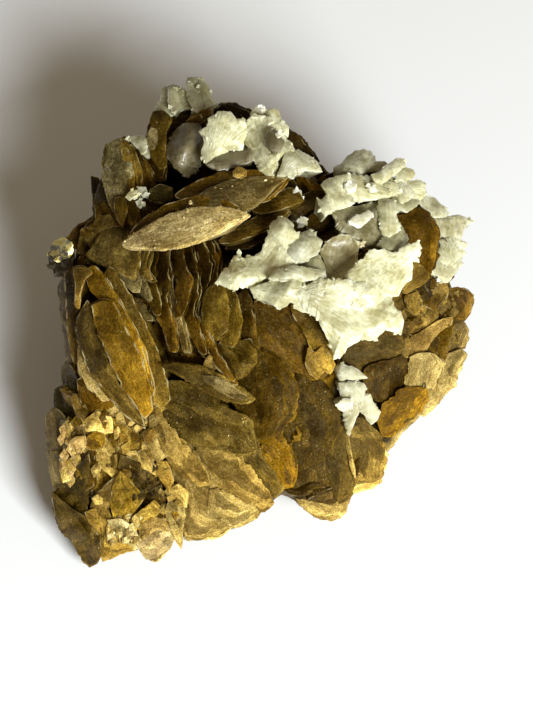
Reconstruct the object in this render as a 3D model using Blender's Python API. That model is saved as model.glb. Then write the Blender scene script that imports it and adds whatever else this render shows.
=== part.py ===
"""Siderite specimen: a fused mass of curved siderite blades with saddle dolomite grown on it.

Metres, +Z up.  The flat broken base lies on z = 0, with the origin under the middle of it.
The showy face leans back: it is built in a face frame whose axes are "across" (+X), "up" along
the face and "out" from it, and that frame is tilted into the world by FACE_RISE.
Sizes in the tables are millimetres and are turned into metres by MM when a mesh is made.
"""

import math
import random
from typing import NamedTuple

import bmesh
import bpy
from mathutils import Matrix, Vector

MM = 0.001

# ---- driving dimensions (millimetres and degrees) ----
FACE_RISE = 60.0          # how steeply the face's outward axis rises from the table
FACE_MIDDLE = (0.55, -5.0, 30.0)  # world place of the middle of the face frame
DOME_TOP = 5.0            # how far the middle of the face stands out from the face frame
DOME_FALL_LEFT = 9.0      # how far it falls back at the left edge
DOME_FALL_RIGHT = 16.0    # and at the right, upper and lower edges
DOME_FALL_UP = 18.0
DOME_FALL_DOWN = 15.0
DOME_HALF_WIDTH = 34.0
DOME_HALF_HEIGHT = 42.0
DOME_CENTRE_UP = -6.0
SEAT_GAP = 0.32           # clearance between a dolomite crystal and its seat in the siderite
BASE_SLAB = 60.0          # size of the block that trims the base flat
CRYSTAL_SEGMENTS = 8      # points round a siderite crystal's outline
SLIM_SEGMENTS = 6         # the same for a crystal narrower than SLIM_WIDTH
SLIM_WIDTH = 8.7
PETAL_SEGMENTS = 8        # points round a dolomite petal's outline
CRYSTAL_RINGS = 3         # bands of faces from the front of a crystal to the back
TOP_SHARE = 0.93          # size of a crystal's front face against its outline
LENS_BEVEL = 0.35         # how much smaller still it is on a sharp lens
FLAT_ANGLE = 1.0          # degrees: faces that lie flatter than this become one face
SEED = 11


class Crystal(NamedTuple):
    """One crystal: its place on the face, its attitude and its size."""
    across: float     # place of its middle, along the face
    up: float
    lift: float       # height of its middle over the dome of the face
    spin: float       # degrees from "across" to its long axis
    lean: float       # roll about the long axis: 0 lies flat on the face, 90 stands on edge
    pitch: float      # rise of its long axis out of the face
    length: float
    width: float
    thick: float
    point: float = 0.6    # 0 an oval outline, 1 a sharp lens, below 0 a blunt blade
    bend: float = 0.0     # sideways bow of the long axis
    saddle: float = 0.0   # how far the tips curl up and the sides curl down


# ---- siderite: blades, lenses and plates of the face ----
GREAT_LENSES = [
    Crystal(-12.0, 17.0, 2.4, 14, -20, 0, 18.0, 6.0, 7.0, 0.3),
    Crystal(-4.6, 20.6, 1.2, 12, -20, 0, 16.0, 6.0, 6.0, 0.3),
    Crystal(-12.3, 15.9, 6.6, 14, -28, 0, 21.0, 6.4, 3.4, 0.75),
    Crystal(-14.0, 17.6, 4.4, 20, -24, 0, 18.0, 6.0, 2.6, 0.6),
    Crystal(-4.2, 21.3, 4.4, 11, -26, 0, 17.5, 5.4, 3.2, 0.7),
    Crystal(-4.5, 22.6, 2.6, 8, -20, 0, 19.0, 5.0, 2.4, 0.6),
    Crystal(2.6, 20.2, 2.8, 14, -30, 0, 12.0, 4.0, 1.8, 0.6),
    Crystal(-1.2, 16.6, 2.2, 25, -35, 0, 13.0, 3.8, 1.8, 0.7),
    Crystal(-2.0, 13.8, -0.6, 24, -35, 0, 9.0, 3.4, 1.6, 0.7),
    Crystal(6.0, 19.6, -0.4, 30, -30, 0, 7.0, 4.0, 2.0, 0.5),
]
UPPER_LEFT_BOOK = [
    Crystal(-22.9, 24.9, 1.0, -66, 34, 4, 11.0, 6.6, 2.4, 0.0),
    Crystal(-21.0, 25.4, 1.4, -66, 62, 4, 11.0, 6.0, 1.6, 0.2),
    Crystal(-19.1, 24.8, 0.4, -66, 62, 4, 10.0, 6.0, 1.5, 0.2),
    Crystal(-26.3, 20.4, -3.4, -80, 62, 0, 8.0, 5.0, 1.8, 0.1),
    Crystal(-24.0, 19.4, -0.6, -62, 52, 0, 9.5, 5.5, 1.8, 0.3),
    Crystal(-22.5, 18.0, 1.6, -84, 62, 0, 7.0, 4.0, 1.4, 0.5),
    Crystal(-17.0, 31.0, -3.4, 70, -30, 0, 7.5, 5.0, 2.4, 0.4),
    Crystal(-13.2, 32.6, -5.4, 40, 10, 0, 9.0, 6.0, 3.4, 0.3),
    Crystal(-16.9, 26.2, -3.0, -80, 40, 0, 9.0, 4.5, 2.2, 0.3),
    Crystal(-16.4, 21.4, 0.2, 10, 10, 0, 5.4, 4.2, 2.6, 0.0),
    Crystal(-4.8, 26.6, -0.6, 8, -34, 0, 14.0, 5.0, 3.0, 0.3),
    Crystal(3.6, 24.0, -3.2, 10, -20, 0, 12.0, 5.0, 3.0, 0.2),
]
LEFT_SHOULDER = [
    Crystal(-26.3, 14.6, 0.6, 40, -20, 0, 9.5, 5.0, 2.4, 0.0),
    Crystal(-24.2, 11.8, 1.6, 32, -12, 0, 11.5, 7.6, 2.2, 0.3),
    Crystal(-29.0, 10.6, -1.6, 75, 20, 0, 8.0, 5.0, 3.0, 0.0),
    Crystal(-21.2, 7.4, 0.2, 20, 20, 0, 4.6, 4.0, 2.2, -0.3),
    Crystal(-31.6, 11.4, -1.4, 60, 10, 0, 6.0, 4.4, 3.6, 0.1),
    Crystal(-32.2, 8.6, -2.6, -80, 40, 0, 7.0, 4.0, 3.0, 0.2),
]
GOLDEN_BLADES = [
    Crystal(-20.2, -1.8, 2.2, -66, 50, 0, 24.5, 7.0, 2.2, 0.3, 1.2),
    Crystal(-23.4, 0.6, 3.0, -60, 48, 0, 19.5, 6.6, 2.0, 0.3, 0.8),
    Crystal(-22.3, -5.0, 4.2, -62, 20, 0, 20.5, 6.4, 2.2, 0.25, 1.0),
    Crystal(-24.4, -6.4, 3.0, -60, 36, 0, 23.0, 5.6, 2.0, 0.2, 0.8),
    Crystal(-25.4, -8.2, 2.0, -58, 44, 0, 21.0, 4.6, 1.6, 0.3, 0.6),
    Crystal(-29.2, 6.0, 3.2, 80, 40, 0, 6.6, 3.0, 1.4, 0.1),
    Crystal(-27.3, 5.6, 2.0, -74, 40, 0, 8.0, 4.6, 2.0, 0.2),
    Crystal(-30.0, 2.0, -0.6, -86, 62, 0, 13.0, 6.0, 2.2, 0.2),
    Crystal(-30.8, -4.0, -2.0, -86, 66, 0, 13.0, 6.0, 2.2, 0.2),
    Crystal(-26.8, -11.4, 1.6, -50, 10, 0, 6.6, 5.0, 2.2, -0.3),
    Crystal(-30.6, -12.2, 1.0, -50, 20, 0, 6.0, 5.4, 3.6, -0.2),
    Crystal(-32.5, -18.4, 1.2, -84, 44, 0, 12.5, 6.0, 3.2, -0.1),
    Crystal(-30.6, -17.2, 2.6, -40, 20, 0, 4.6, 3.2, 2.2, 0.0),
]
FAN_BLADES = [
    Crystal(-19.4, 10.4, -0.4, -74, 58, 0, 7.4, 5.0, 1.3, 0.5),
    Crystal(-18.0, 10.2, 0.6, -76, 60, 0, 8.0, 5.0, 1.3, 0.5),
    Crystal(-16.2, 7.6, 1.0, -82, 60, 0, 13.0, 5.6, 1.5, 0.5, -0.6),
    Crystal(-14.6, 7.8, 1.6, -84, 60, 0, 12.5, 5.6, 1.4, 0.5, -0.6),
    Crystal(-12.8, 7.6, 2.0, -84, 58, 0, 13.0, 5.6, 1.6, 0.5, -0.8),
    Crystal(-10.2, 6.2, 2.2, -80, 56, 0, 14.5, 6.0, 1.7, 0.4, -1.0),
    Crystal(-8.9, 10.8, 2.2, -68, 56, 0, 8.0, 4.4, 1.3, 0.5),
    Crystal(-6.9, 10.2, -0.2, -70, 50, 0, 8.0, 5.0, 1.6, 0.2),
    Crystal(-15.2, -1.2, -0.6, -76, 58, 0, 8.0, 4.6, 1.2, 0.4),
    Crystal(-13.2, -1.0, 0.2, -74, 58, 0, 8.4, 4.6, 1.2, 0.4),
    Crystal(-11.2, -1.0, 0.8, -68, 56, 0, 8.6, 4.6, 1.3, 0.4),
    Crystal(-7.9, -3.6, 2.0, -58, 56, 0, 12.4, 5.0, 1.4, 0.4),
    Crystal(-7.8, 2.2, 2.0, -80, 26, 0, 12.0, 5.0, 2.2, 0.2),
    Crystal(-5.2, 1.4, 1.4, -80, 30, 0, 12.0, 5.0, 2.0, 0.2),
    Crystal(-3.0, -0.2, 0.8, -82, 34, 0, 12.0, 5.0, 2.0, 0.2),
    Crystal(-3.6, -5.4, 1.6, -76, 12, 0, 8.4, 6.4, 2.2, 0.0),
]
FACE_PLATES = [
    Crystal(-9.0, -9.3, 4.2, -20, 10, 0, 16.2, 5.0, 2.2, 0.55),
    Crystal(-9.6, -14.6, 2.6, -24, 16, 0, 17.5, 11.6, 3.0, 0.0),
    Crystal(-4.4, -17.4, 3.0, -62, -10, 0, 8.8, 6.0, 2.4, 0.0),
    Crystal(-4.6, -23.2, 1.2, -40, 16, 0, 14.5, 9.4, 2.8, 0.0),
    Crystal(-11.2, -25.6, -0.4, -64, 6, 0, 18.0, 11.0, 3.2, 0.0),
    Crystal(-5.6, -29.4, -0.4, 22, 20, 0, 12.0, 5.2, 2.6, 0.2),
    Crystal(1.8, -22.2, 0.8, -72, -6, 0, 11.0, 5.6, 2.4, -0.3),
    Crystal(-0.4, -22.6, 1.2, -56, -6, 0, 11.0, 4.0, 1.8, 0.2),
    Crystal(0.6, -11.0, 2.4, -76, -8, 0, 15.0, 9.8, 3.2, -0.05),
    Crystal(4.6, -2.0, 1.6, -20, 4, 0, 14.0, 9.6, 3.0, 0.0),
    Crystal(8.4, -2.2, 1.8, -66, -10, 0, 10.6, 5.0, 2.4, 0.0),
    Crystal(9.2, -5.6, 2.4, 10, 0, 0, 4.2, 3.4, 2.6, -0.1),
    Crystal(8.0, -14.6, 1.2, -78, -10, 0, 16.0, 8.6, 3.0, -0.1),
    Crystal(8.0, -25.6, 0.0, -66, -4, 0, 11.4, 8.0, 3.0, -0.1),
    Crystal(9.8, -28.4, -1.4, -16, 14, 0, 8.6, 5.4, 2.8, 0.0),
    Crystal(12.6, -21.8, 0.8, -82, -14, 0, 12.8, 5.6, 2.6, 0.2),
    Crystal(13.8, -20.0, 1.8, -78, 60, 0, 11.0, 3.4, 0.9, 0.5),
    Crystal(16.5, -20.6, -0.2, -82, -12, 0, 10.4, 6.4, 2.6, -0.1),
]
RIGHT_PLATES = [
    Crystal(18.0, -4.8, -0.2, 16, 20, 0, 12.4, 6.0, 3.0, -0.1),
    Crystal(19.6, -9.2, 0.0, 20, 6, 0, 9.0, 8.4, 3.0, 0.0),
    Crystal(27.6, -8.6, -2.0, 48, -24, 0, 13.4, 9.6, 3.4, 0.0),
    Crystal(21.8, -14.6, -0.6, 46, -10, 0, 12.6, 5.2, 3.0, 0.1),
    Crystal(21.4, -17.2, -2.6, 46, -10, 0, 10.6, 3.4, 2.4, 0.1),
    Crystal(25.2, 2.6, 0.0, 60, -12, 0, 11.6, 7.6, 3.6, -0.2),
    Crystal(30.4, 3.6, -1.2, 20, -10, 0, 7.2, 5.4, 3.4, -0.2),
    Crystal(29.2, -2.2, -1.6, -14, -6, 0, 8.2, 6.4, 3.8, -0.1),
    Crystal(25.4, -2.8, -0.2, 38, 30, 0, 8.6, 3.4, 1.8, 0.3),
    Crystal(17.4, -16.6, 0.2, -36, 20, 0, 6.0, 3.0, 1.8, 0.3),
    Crystal(25.2, 12.6, 0.6, -78, -44, 0, 13.6, 7.0, 2.4, 0.1, 1.8),
    Crystal(23.6, 8.2, -0.6, 40, -20, 0, 9.0, 6.0, 3.0, 0.0),
]
LOWER_LEFT_STEPS = [
    Crystal(-24.6, -19.0, 1.4, 40, 6, 0, 12.0, 10.0, 4.0, -0.6),
    Crystal(-29.6, -20.0, 2.4, 56, -10, 0, 9.6, 4.4, 3.0, -0.5),
    Crystal(-24.6, -15.6, 2.2, 24, 4, 0, 7.0, 3.4, 2.6, -0.6),
    Crystal(-21.2, -18.0, 2.8, -42, 10, 0, 8.4, 3.2, 2.4, -0.6),
    Crystal(-17.0, -21.8, 3.0, -58, 16, 0, 12.0, 3.2, 2.4, -0.4),
    Crystal(-26.8, -19.8, 3.2, 84, 6, 0, 5.0, 2.6, 2.0, -0.1),
    Crystal(-18.8, -25.0, 2.2, -50, 20, 0, 9.6, 7.0, 3.2, -0.5),
    Crystal(-21.6, -27.2, 3.4, 40, 16, 0, 8.4, 6.4, 3.2, -0.6),
    Crystal(-25.0, -26.8, 2.6, 40, -16, 0, 5.4, 4.0, 2.6, -0.4),
    Crystal(-19.0, -30.4, 3.6, 38, 14, 0, 5.4, 3.6, 2.4, -0.7),
    Crystal(-30.2, -26.6, 2.4, -62, -14, 0, 12.0, 5.8, 3.0, -0.3),
    Crystal(-28.6, -33.2, 2.8, -60, -4, 0, 12.6, 5.2, 3.0, -0.2),
    Crystal(-24.6, -33.0, 3.4, -34, 10, 0, 9.4, 6.0, 3.0, -0.3),
    Crystal(-17.4, -34.0, 4.2, 42, 20, 0, 6.6, 4.6, 2.8, -0.3),
    Crystal(-13.8, -30.6, 2.8, -78, 20, 0, 10.4, 3.6, 2.4, 0.3),
    Crystal(-22.0, -33.0, 4.0, -40, 10, 0, 5.4, 3.6, 2.4, -0.2),
]
FACE_CRYSTALS = (GREAT_LENSES + UPPER_LEFT_BOOK + LEFT_SHOULDER + GOLDEN_BLADES + FAN_BLADES
                 + FACE_PLATES + RIGHT_PLATES + LOWER_LEFT_STEPS)

# ---- dolomite: saddle-shaped petals ----
DOLOMITE_GROUPS = {
    "dolomite_upper_left_petals": [
        Crystal(-11.6, 34.6, -3.0, -10, -20, 0, 9.0, 5.0, 4.4, 0.0),
        Crystal(-14.2, 35.6, -1.6, 62, -20, 0, 6.6, 5.6, 2.6, 0.0, 0.0, 0.5),
        Crystal(-10.6, 36.6, -1.0, -64, -20, 0, 7.4, 4.2, 2.2, -0.1, 0.0, 0.5),
        Crystal(-8.6, 35.6, -1.6, -58, -30, 0, 6.6, 3.6, 2.0, 0.1, 0.0, 0.5),
    ],
    "dolomite_shaded_leaf": [
        Crystal(-12.4, 27.8, -1.6, 80, -16, 0, 9.6, 6.8, 3.4, -0.1, 0.0, 0.6),
    ],
    "dolomite_small_wedge": [
        Crystal(-19.9, 29.2, 0.6, -20, 10, 0, 4.2, 2.8, 1.8, -0.2),
    ],
    "dolomite_upper_petals": [
        Crystal(-0.4, 29.4, 2.2, 0, -6, 0, 13.0, 6.4, 5.0, 0.0),
        Crystal(-7.2, 31.8, 5.4, 54, -10, 0, 6.8, 5.0, 2.4, -0.1, 0.0, 0.6),
        Crystal(-6.6, 28.4, 5.0, 24, -14, 0, 7.4, 4.6, 2.6, 0.1, 0.0, 0.6),
        Crystal(-3.2, 30.4, 4.6, 70, -10, 0, 7.0, 4.4, 2.6, 0.1, 0.0, 0.4),
        Crystal(1.0, 29.8, 5.4, 72, 6, 0, 9.6, 7.0, 3.4, -0.1, 0.0, -0.8),
        Crystal(5.0, 26.2, 4.0, -2, -16, 0, 10.4, 4.8, 2.8, 0.2, 0.0, 0.8),
        Crystal(2.6, 32.0, 4.2, 50, 10, 0, 6.0, 3.4, 2.2, 0.2, 0.0, 0.4),
    ],
    "dolomite_right_petals": [
        Crystal(15.4, 22.4, 1.4, 8, -6, 0, 15.0, 6.6, 5.6, 0.0),
        Crystal(21.6, 20.6, 0.6, 60, 0, 0, 10.0, 6.0, 5.0, 0.0),
        Crystal(17.6, 14.0, 0.8, 64, 0, 0, 14.0, 6.6, 5.4, 0.0),
        Crystal(14.6, 8.4, 1.4, 20, 0, 0, 16.0, 7.6, 5.6, 0.0),
        Crystal(12.0, 3.4, 2.8, 14, 0, 0, 21.0, 7.6, 6.4, 0.0),
        Crystal(2.4, 9.2, 2.4, 24, 0, 0, 13.0, 6.0, 5.4, 0.0),
        Crystal(15.0, 22.0, 4.6, 4, -8, 0, 12.6, 5.4, 3.2, -0.1, 0.0, 0.8),
        Crystal(10.2, 20.2, 4.4, 62, -10, 0, 6.4, 3.0, 2.2, 0.2),
        Crystal(15.2, 26.2, -0.4, 6, -10, 0, 8.2, 4.2, 2.8, -0.1, 0.0, 0.6),
        Crystal(20.6, 24.4, 2.2, 30, -16, 0, 7.8, 4.0, 2.6, 0.0, 0.0, 0.6),
        Crystal(23.0, 22.6, 1.6, 8, -16, 0, 6.6, 4.6, 2.8, -0.1, 0.0, 0.6),
        Crystal(20.8, 20.8, 2.4, 14, 10, 0, 8.8, 4.6, 3.0, -0.1),
        Crystal(17.0, 16.8, 2.6, 68, 16, 0, 9.4, 6.6, 3.0, 0.0, 0.0, 0.8),
        Crystal(13.6, 16.6, 2.2, -44, 20, 0, 7.4, 3.4, 2.2, 0.2),
        Crystal(21.4, 15.8, 3.0, 76, 6, 0, 9.0, 3.8, 2.4, 0.1, 0.0, 0.6),
        Crystal(12.6, 10.8, 3.4, 30, 10, 0, 7.6, 6.6, 2.8, 0.0, 0.0, -0.8),
        Crystal(8.6, 9.6, 2.4, -12, 10, 0, 5.0, 3.4, 2.2, 0.0),
        Crystal(-3.0, 8.4, 5.2, 32, -10, 0, 10.0, 5.0, 2.8, 0.2, 0.0, 0.8),
        Crystal(2.9, 13.2, 4.8, 78, -6, 0, 8.8, 5.6, 2.8, 0.0, 0.0, 0.8),
        Crystal(7.1, 12.6, 4.0, 50, -6, 0, 5.6, 4.6, 2.4, 0.0, 0.0, 0.6),
        Crystal(5.7, 8.2, 6.0, 0, -24, 0, 9.8, 3.2, 2.2, 0.1),
        Crystal(4.6, 5.2, 5.8, -6, 6, 0, 10.6, 4.8, 3.0, 0.1, 0.0, 0.8),
        Crystal(14.8, 3.6, 6.2, 20, 8, 0, 17.6, 9.4, 4.0, -0.1, 0.0, 0.9),
        Crystal(20.4, 8.6, 6.4, 44, 10, 0, 12.6, 5.0, 3.0, 0.3, -1.0, 0.6),
        Crystal(17.8, 10.6, 5.4, 14, -20, 0, 8.0, 4.0, 2.6, 0.1),
        Crystal(12.4, -1.6, 5.4, -72, 4, 0, 8.0, 4.4, 2.8, 0.2, 0.0, 0.4),
        Crystal(20.6, 1.6, 5.4, -64, 0, 0, 7.0, 4.4, 2.6, 0.0, 0.0, 0.4),
    ],
    "dolomite_edge_petals": [
        Crystal(28.8, 15.0, -1.6, -60, 0, 0, 12.0, 5.4, 5.0, 0.0),
        Crystal(30.0, 12.4, 0.8, 76, -14, 0, 10.8, 5.2, 2.8, 0.0, 0.0, 0.8),
        Crystal(31.2, 16.0, 0.6, 6, -10, 0, 6.6, 3.6, 2.2, 0.4),
        Crystal(27.4, 18.6, 0.4, -36, -10, 0, 6.6, 3.4, 2.4, 0.1),
    ],
    "dolomite_lower_petals": [
        Crystal(14.6, -11.6, 0.8, 84, 0, 0, 11.0, 4.0, 3.6, 0.0),
        Crystal(14.2, -7.6, 2.8, -16, 0, 0, 6.0, 3.0, 1.8, 0.2, 0.0, 0.4),
        Crystal(14.6, -11.4, 2.2, 62, 0, 0, 6.6, 3.2, 2.2, 0.0),
        Crystal(13.4, -12.7, 3.2, 24, 0, 0, 3.2, 2.2, 1.8, -0.6),
        Crystal(13.9, -15.8, 1.8, 76, 0, 0, 5.0, 2.2, 1.8, 0.2),
        Crystal(17.4, -13.4, 1.4, -34, 0, 0, 4.6, 3.2, 2.2, 0.0),
    ],
    "small_crystal_left": [Crystal(-21.2, 20.7, 2.2, 22, 0, 0, 2.6, 1.6, 1.4, -0.6)],
    "small_crystal_middle": [Crystal(-18.9, 21.3, 2.6, 80, 0, 0, 2.4, 1.7, 1.4, -0.6)],
    "small_crystal_hollow": [Crystal(5.6, 20.8, 2.6, 30, 0, 0, 2.6, 2.0, 1.6, -0.6)],
    "small_crystal_ledge": [Crystal(6.7, 16.8, 1.6, 12, 0, 0, 2.4, 1.5, 1.4, -0.6)],
}
# a brassy sulphide grain at the left edge of the face
BRASSY_GRAIN = [Crystal(-32.2, 12.0, 1.0, 60, 10, 0, 4.4, 3.6, 3.2, -0.3)]

# ---- matrix: the stone that the crystals grow from ----
# reach of the specimen's outline, seen along the face's outward axis, every OUTLINE_STEP
# degrees anticlockwise from "across"
OUTLINE_REACH = (32.5, 35.0, 35.0, 28.0, 34.0, 39.0, 37.0, 33.5,
                 31.5, 35.5, 43.0, 36.5, 30.0, 31.0, 29.0, 29.5)
OUTLINE_STEP = 360.0 / len(OUTLINE_REACH)
MATRIX_INSET = 3.0        # how far the matrix stays inside the outline
MATRIX_DEPTH = 0.3        # how far the matrix lies under the dome of the face
ROOT_REACH = 2.4          # how far under the dome of the face every crystal's root reaches
MATRIX_SEGMENTS = 16
MATRIX_RINGS = 8
FLANK_ANGLE = 54.0        # latitude of the matrix's sphere at which its flank meets the base
BASE_CENTRE = (0.5, 3.0)  # world place towards which the flanks draw in, and by how much
BASE_SHARE = 0.72
BASE_DROP = 3.0           # how far the untrimmed matrix reaches under the base
FLANK_ROUGH = 1.0
# dark hollows between the crystals: (across, up, radius, depth)
HOLLOWS = [
    (-0.5, 14.0, 5.0, 7.0),
    (9.5, 17.5, 4.5, 6.0),
    (-13.0, 24.0, 5.5, 6.0),
    (-16.8, -2.5, 3.0, 4.0),
    (6.5, 23.0, 4.0, 5.0),
]
# rings of crystals on the flanks: (share of the way down, first bearing, count)
FLANK_RINGS = (
    (0.20, 8.0, 12),
    (0.62, 20.0, 8),
)


def face_matrix():
    """World matrix of the face frame: across, up along the face, out from the face."""
    rise = math.radians(FACE_RISE)
    across = Vector((1, 0, 0))
    up = Vector((0, math.sin(rise), math.cos(rise)))
    out = Vector((0, -math.cos(rise), math.sin(rise)))
    turn = Matrix((across, up, out)).transposed().to_4x4()
    return Matrix.Translation(FACE_MIDDLE) @ turn


def dome(across, up):
    """How far the face stands out at a place on it."""
    side_fall = DOME_FALL_LEFT if across < 0 else DOME_FALL_RIGHT
    end_fall = DOME_FALL_DOWN if up < DOME_CENTRE_UP else DOME_FALL_UP
    fall_across = side_fall * (across / DOME_HALF_WIDTH) ** 2
    fall_up = end_fall * ((up - DOME_CENTRE_UP) / DOME_HALF_HEIGHT) ** 2
    return DOME_TOP - fall_across - fall_up


def signed_power(value, power):
    return math.copysign(abs(value) ** power, value)


def crystal_point(unit, crystal, grow):
    """Warp a point of the unit sphere onto the crystal, in its own length-width-thickness axes.

    The outline's half width goes as sin to the power 1 + point, so 0 is an oval, 1 is two arcs
    that meet in sharp tips, and a value below 0 is a blunt blade.  The upper ring is drawn in
    and both rings are brought level with their poles, so the front is one flat bevelled face.
    """
    ring = math.hypot(unit.x, unit.y)
    cosine, sine, rim = 1.0, 0.0, 0.0
    if ring > 1e-6:
        cosine, sine = unit.x / ring, unit.y / ring
        rim = TOP_SHARE - LENS_BEVEL * max(0.0, crystal.point) if unit.z > 0 else 1.0
    along = rim * signed_power(cosine, 1.0 + min(0.0, crystal.point))
    aside = rim * signed_power(sine, 1.0 + crystal.point)
    bow = crystal.bend * (1.0 - along * along)
    curl = crystal.saddle * (along * along - aside * aside)
    return Vector((
        along * (0.5 * crystal.length + grow),
        aside * (0.5 * crystal.width + grow) + bow,
        math.copysign(0.5 * crystal.thick + grow, unit.z) + curl,
    ))


def crystal_matrix(crystal):
    """Place of a crystal in the face frame, from its spin, lean and pitch."""
    place = Matrix.Translation((crystal.across, crystal.up,
                                dome(crystal.across, crystal.up) + crystal.lift))
    spin = Matrix.Rotation(math.radians(crystal.spin), 4, "Z")
    pitch = Matrix.Rotation(math.radians(-crystal.pitch), 4, "Y")
    lean = Matrix.Rotation(math.radians(crystal.lean), 4, "X")
    return place @ spin @ pitch @ lean


def mesh_object(name, mesh_builder, collection):
    mesh = bpy.data.meshes.new(name)
    bm = bmesh.new()
    mesh_builder(bm)
    bm.to_mesh(mesh)
    bm.free()
    made = bpy.data.objects.new(name, mesh)
    collection.objects.link(made)
    return made


def crystal_object(name, crystal, frame, collection, segments, grow=0.0, root=0.0):
    """A closed crystal: a coarse sphere warped to its outline, then placed by the frame.

    The back of it is drawn inward by "root" millimetres, as the stem that it grew from.
    """
    place = crystal_matrix(crystal)

    def build(bm):
        bmesh.ops.create_uvsphere(bm, u_segments=segments, v_segments=CRYSTAL_RINGS, radius=1.0)
        for vert in bm.verts:
            at_face = place @ crystal_point(vert.co, crystal, grow)
            if vert.co.z < -0.9:
                at_face.z -= root
            vert.co = MM * (frame @ at_face)

    return mesh_object(name, build, collection)


def hollow_depth(across, up):
    """Depth of the hollows at a place: each one is a bell-shaped dip."""
    return sum(depth * math.exp(-((across - x) ** 2 + (up - y) ** 2) / radius ** 2)
               for x, y, radius, depth in HOLLOWS)


def outline_reach(bearing):
    """Reach of the outline at a bearing in degrees, eased from one stated reach to the next."""
    place = (bearing % 360.0) / OUTLINE_STEP
    before = int(place) % len(OUTLINE_REACH)
    after = (before + 1) % len(OUTLINE_REACH)
    share = place - int(place)
    return OUTLINE_REACH[before] * (1.0 - share) + OUTLINE_REACH[after] * share


def face_point(across, up, sink=0.0):
    """A point of the face frame on the dome, or under it by "sink"."""
    return Vector((across, up, dome(across, up) - sink))


def flank_point(bearing, share, frame):
    """World point on the flank: from the rim of the face (share 0) to the base (share 1)."""
    reach = outline_reach(bearing) - MATRIX_INSET
    angle = math.radians(bearing)
    rim = frame @ face_point(reach * math.cos(angle), reach * math.sin(angle), MATRIX_DEPTH)
    base = Vector((BASE_CENTRE[0] + BASE_SHARE * (rim.x - BASE_CENTRE[0]),
                   BASE_CENTRE[1] + BASE_SHARE * (rim.y - BASE_CENTRE[1]), -BASE_DROP))
    return rim.lerp(base, share)


def matrix_object(frame, collection):
    """The matrix: a sphere whose upper half follows the face and whose lower half is a flank."""
    rough = random.Random(SEED)

    def build(bm):
        bmesh.ops.create_uvsphere(bm, u_segments=MATRIX_SEGMENTS, v_segments=MATRIX_RINGS,
                                  radius=1.0)
        for vert in bm.verts:
            ring = math.hypot(vert.co.x, vert.co.y)
            latitude = math.degrees(math.atan2(vert.co.z, ring))
            bearing = math.degrees(math.atan2(vert.co.y, vert.co.x))
            if latitude > -0.1:
                reach = ring ** 0.8 * (outline_reach(bearing) - MATRIX_INSET)
                across = reach * math.cos(math.radians(bearing))
                up = reach * math.sin(math.radians(bearing))
                sink = MATRIX_DEPTH + hollow_depth(across, up) + rough.uniform(-0.4, 0.4)
                place = frame @ face_point(across, up, sink)
            else:
                drop = min(1.0, -latitude / FLANK_ANGLE)
                place = flank_point(bearing, drop, frame)
                place += Vector(rough.uniform(-FLANK_ROUGH, FLANK_ROUGH) for _ in range(3))
                middle = Vector((*BASE_CENTRE, -BASE_DROP))
                inward = max(0.0, -latitude - FLANK_ANGLE) / (90.0 - FLANK_ANGLE)
                place = place.lerp(middle, inward)
            vert.co = MM * place

    return mesh_object("matrix", build, collection)


def flank_crystals(frame, collection):
    """Rings of overlapping blades all round the flanks, each grown out from the matrix."""
    chance = random.Random(SEED)
    for share, first, count in FLANK_RINGS:
        for index in range(count):
            bearing = first + 360.0 * index / count + chance.uniform(-5, 5)
            origin = flank_point(bearing, share + chance.uniform(-0.06, 0.06), frame)
            out = Vector((origin.x - BASE_CENTRE[0], origin.y - BASE_CENTRE[1], 4.0))
            out.normalize()
            aside = Vector((-out.y, out.x, 0)).normalized()
            rise = out.cross(aside)
            turn = Matrix((aside, rise, out)).transposed().to_4x4()
            place = Matrix.Translation(origin - dome(0, 0) * out) @ turn
            crystal = Crystal(0, 0, chance.uniform(0.2, 1.2),
                              chance.uniform(-50, 50), chance.uniform(-22, 22),
                              chance.uniform(-12, 12), chance.uniform(10, 15),
                              chance.uniform(6, 9), chance.uniform(2.4, 3.6),
                              chance.uniform(-0.2, 0.4))
            crystal_object(f"flank_{share:.2f}_{index}", crystal, place, collection,
                           SLIM_SEGMENTS, root=ROOT_REACH)


def principled(name, colour, roughness, metallic):
    material = bpy.data.materials.new(name)
    material.use_nodes = True
    shader = material.node_tree.nodes["Principled BSDF"]
    shader.inputs["Base Color"].default_value = (*colour, 1.0)
    shader.inputs["Roughness"].default_value = roughness
    shader.inputs["Metallic"].default_value = metallic
    return material


def evaluated_copy(source, name, collection):
    """Freeze an object's modifiers into a new object."""
    depsgraph = bpy.context.evaluated_depsgraph_get()
    mesh = bpy.data.meshes.new_from_object(source.evaluated_get(depsgraph))
    made = bpy.data.objects.new(name, mesh)
    made.matrix_world = source.matrix_world
    collection.objects.link(made)
    return made


def boolean(target, operation, operand):
    modifier = target.modifiers.new(operation.title(), "BOOLEAN")
    modifier.operation = operation
    modifier.solver = "EXACT"
    if isinstance(operand, bpy.types.Collection):
        modifier.operand_type = "COLLECTION"
        modifier.collection = operand
    else:
        modifier.object = operand


def keep_largest_shell(target):
    """Drop loose chips and sealed hollows: keep the connected shell with the widest reach."""
    bm = bmesh.new()
    bm.from_mesh(target.data)
    unseen = set(bm.verts)
    best, best_reach = set(), -1.0
    while unseen:
        stack = [unseen.pop()]
        shell = set(stack)
        while stack:
            vert = stack.pop()
            for edge in vert.link_edges:
                other = edge.other_vert(vert)
                if other in unseen:
                    unseen.discard(other)
                    shell.add(other)
                    stack.append(other)
        reach = sum(max(v.co[i] for v in shell) - min(v.co[i] for v in shell) for i in range(3))
        if reach > best_reach:
            best, best_reach = shell, reach
    bmesh.ops.delete(bm, geom=[v for v in bm.verts if v not in best], context="VERTS")
    bmesh.ops.dissolve_limit(bm, angle_limit=math.radians(FLAT_ANGLE), verts=bm.verts,
                             edges=bm.edges)
    bm.to_mesh(target.data)
    bm.free()


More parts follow.
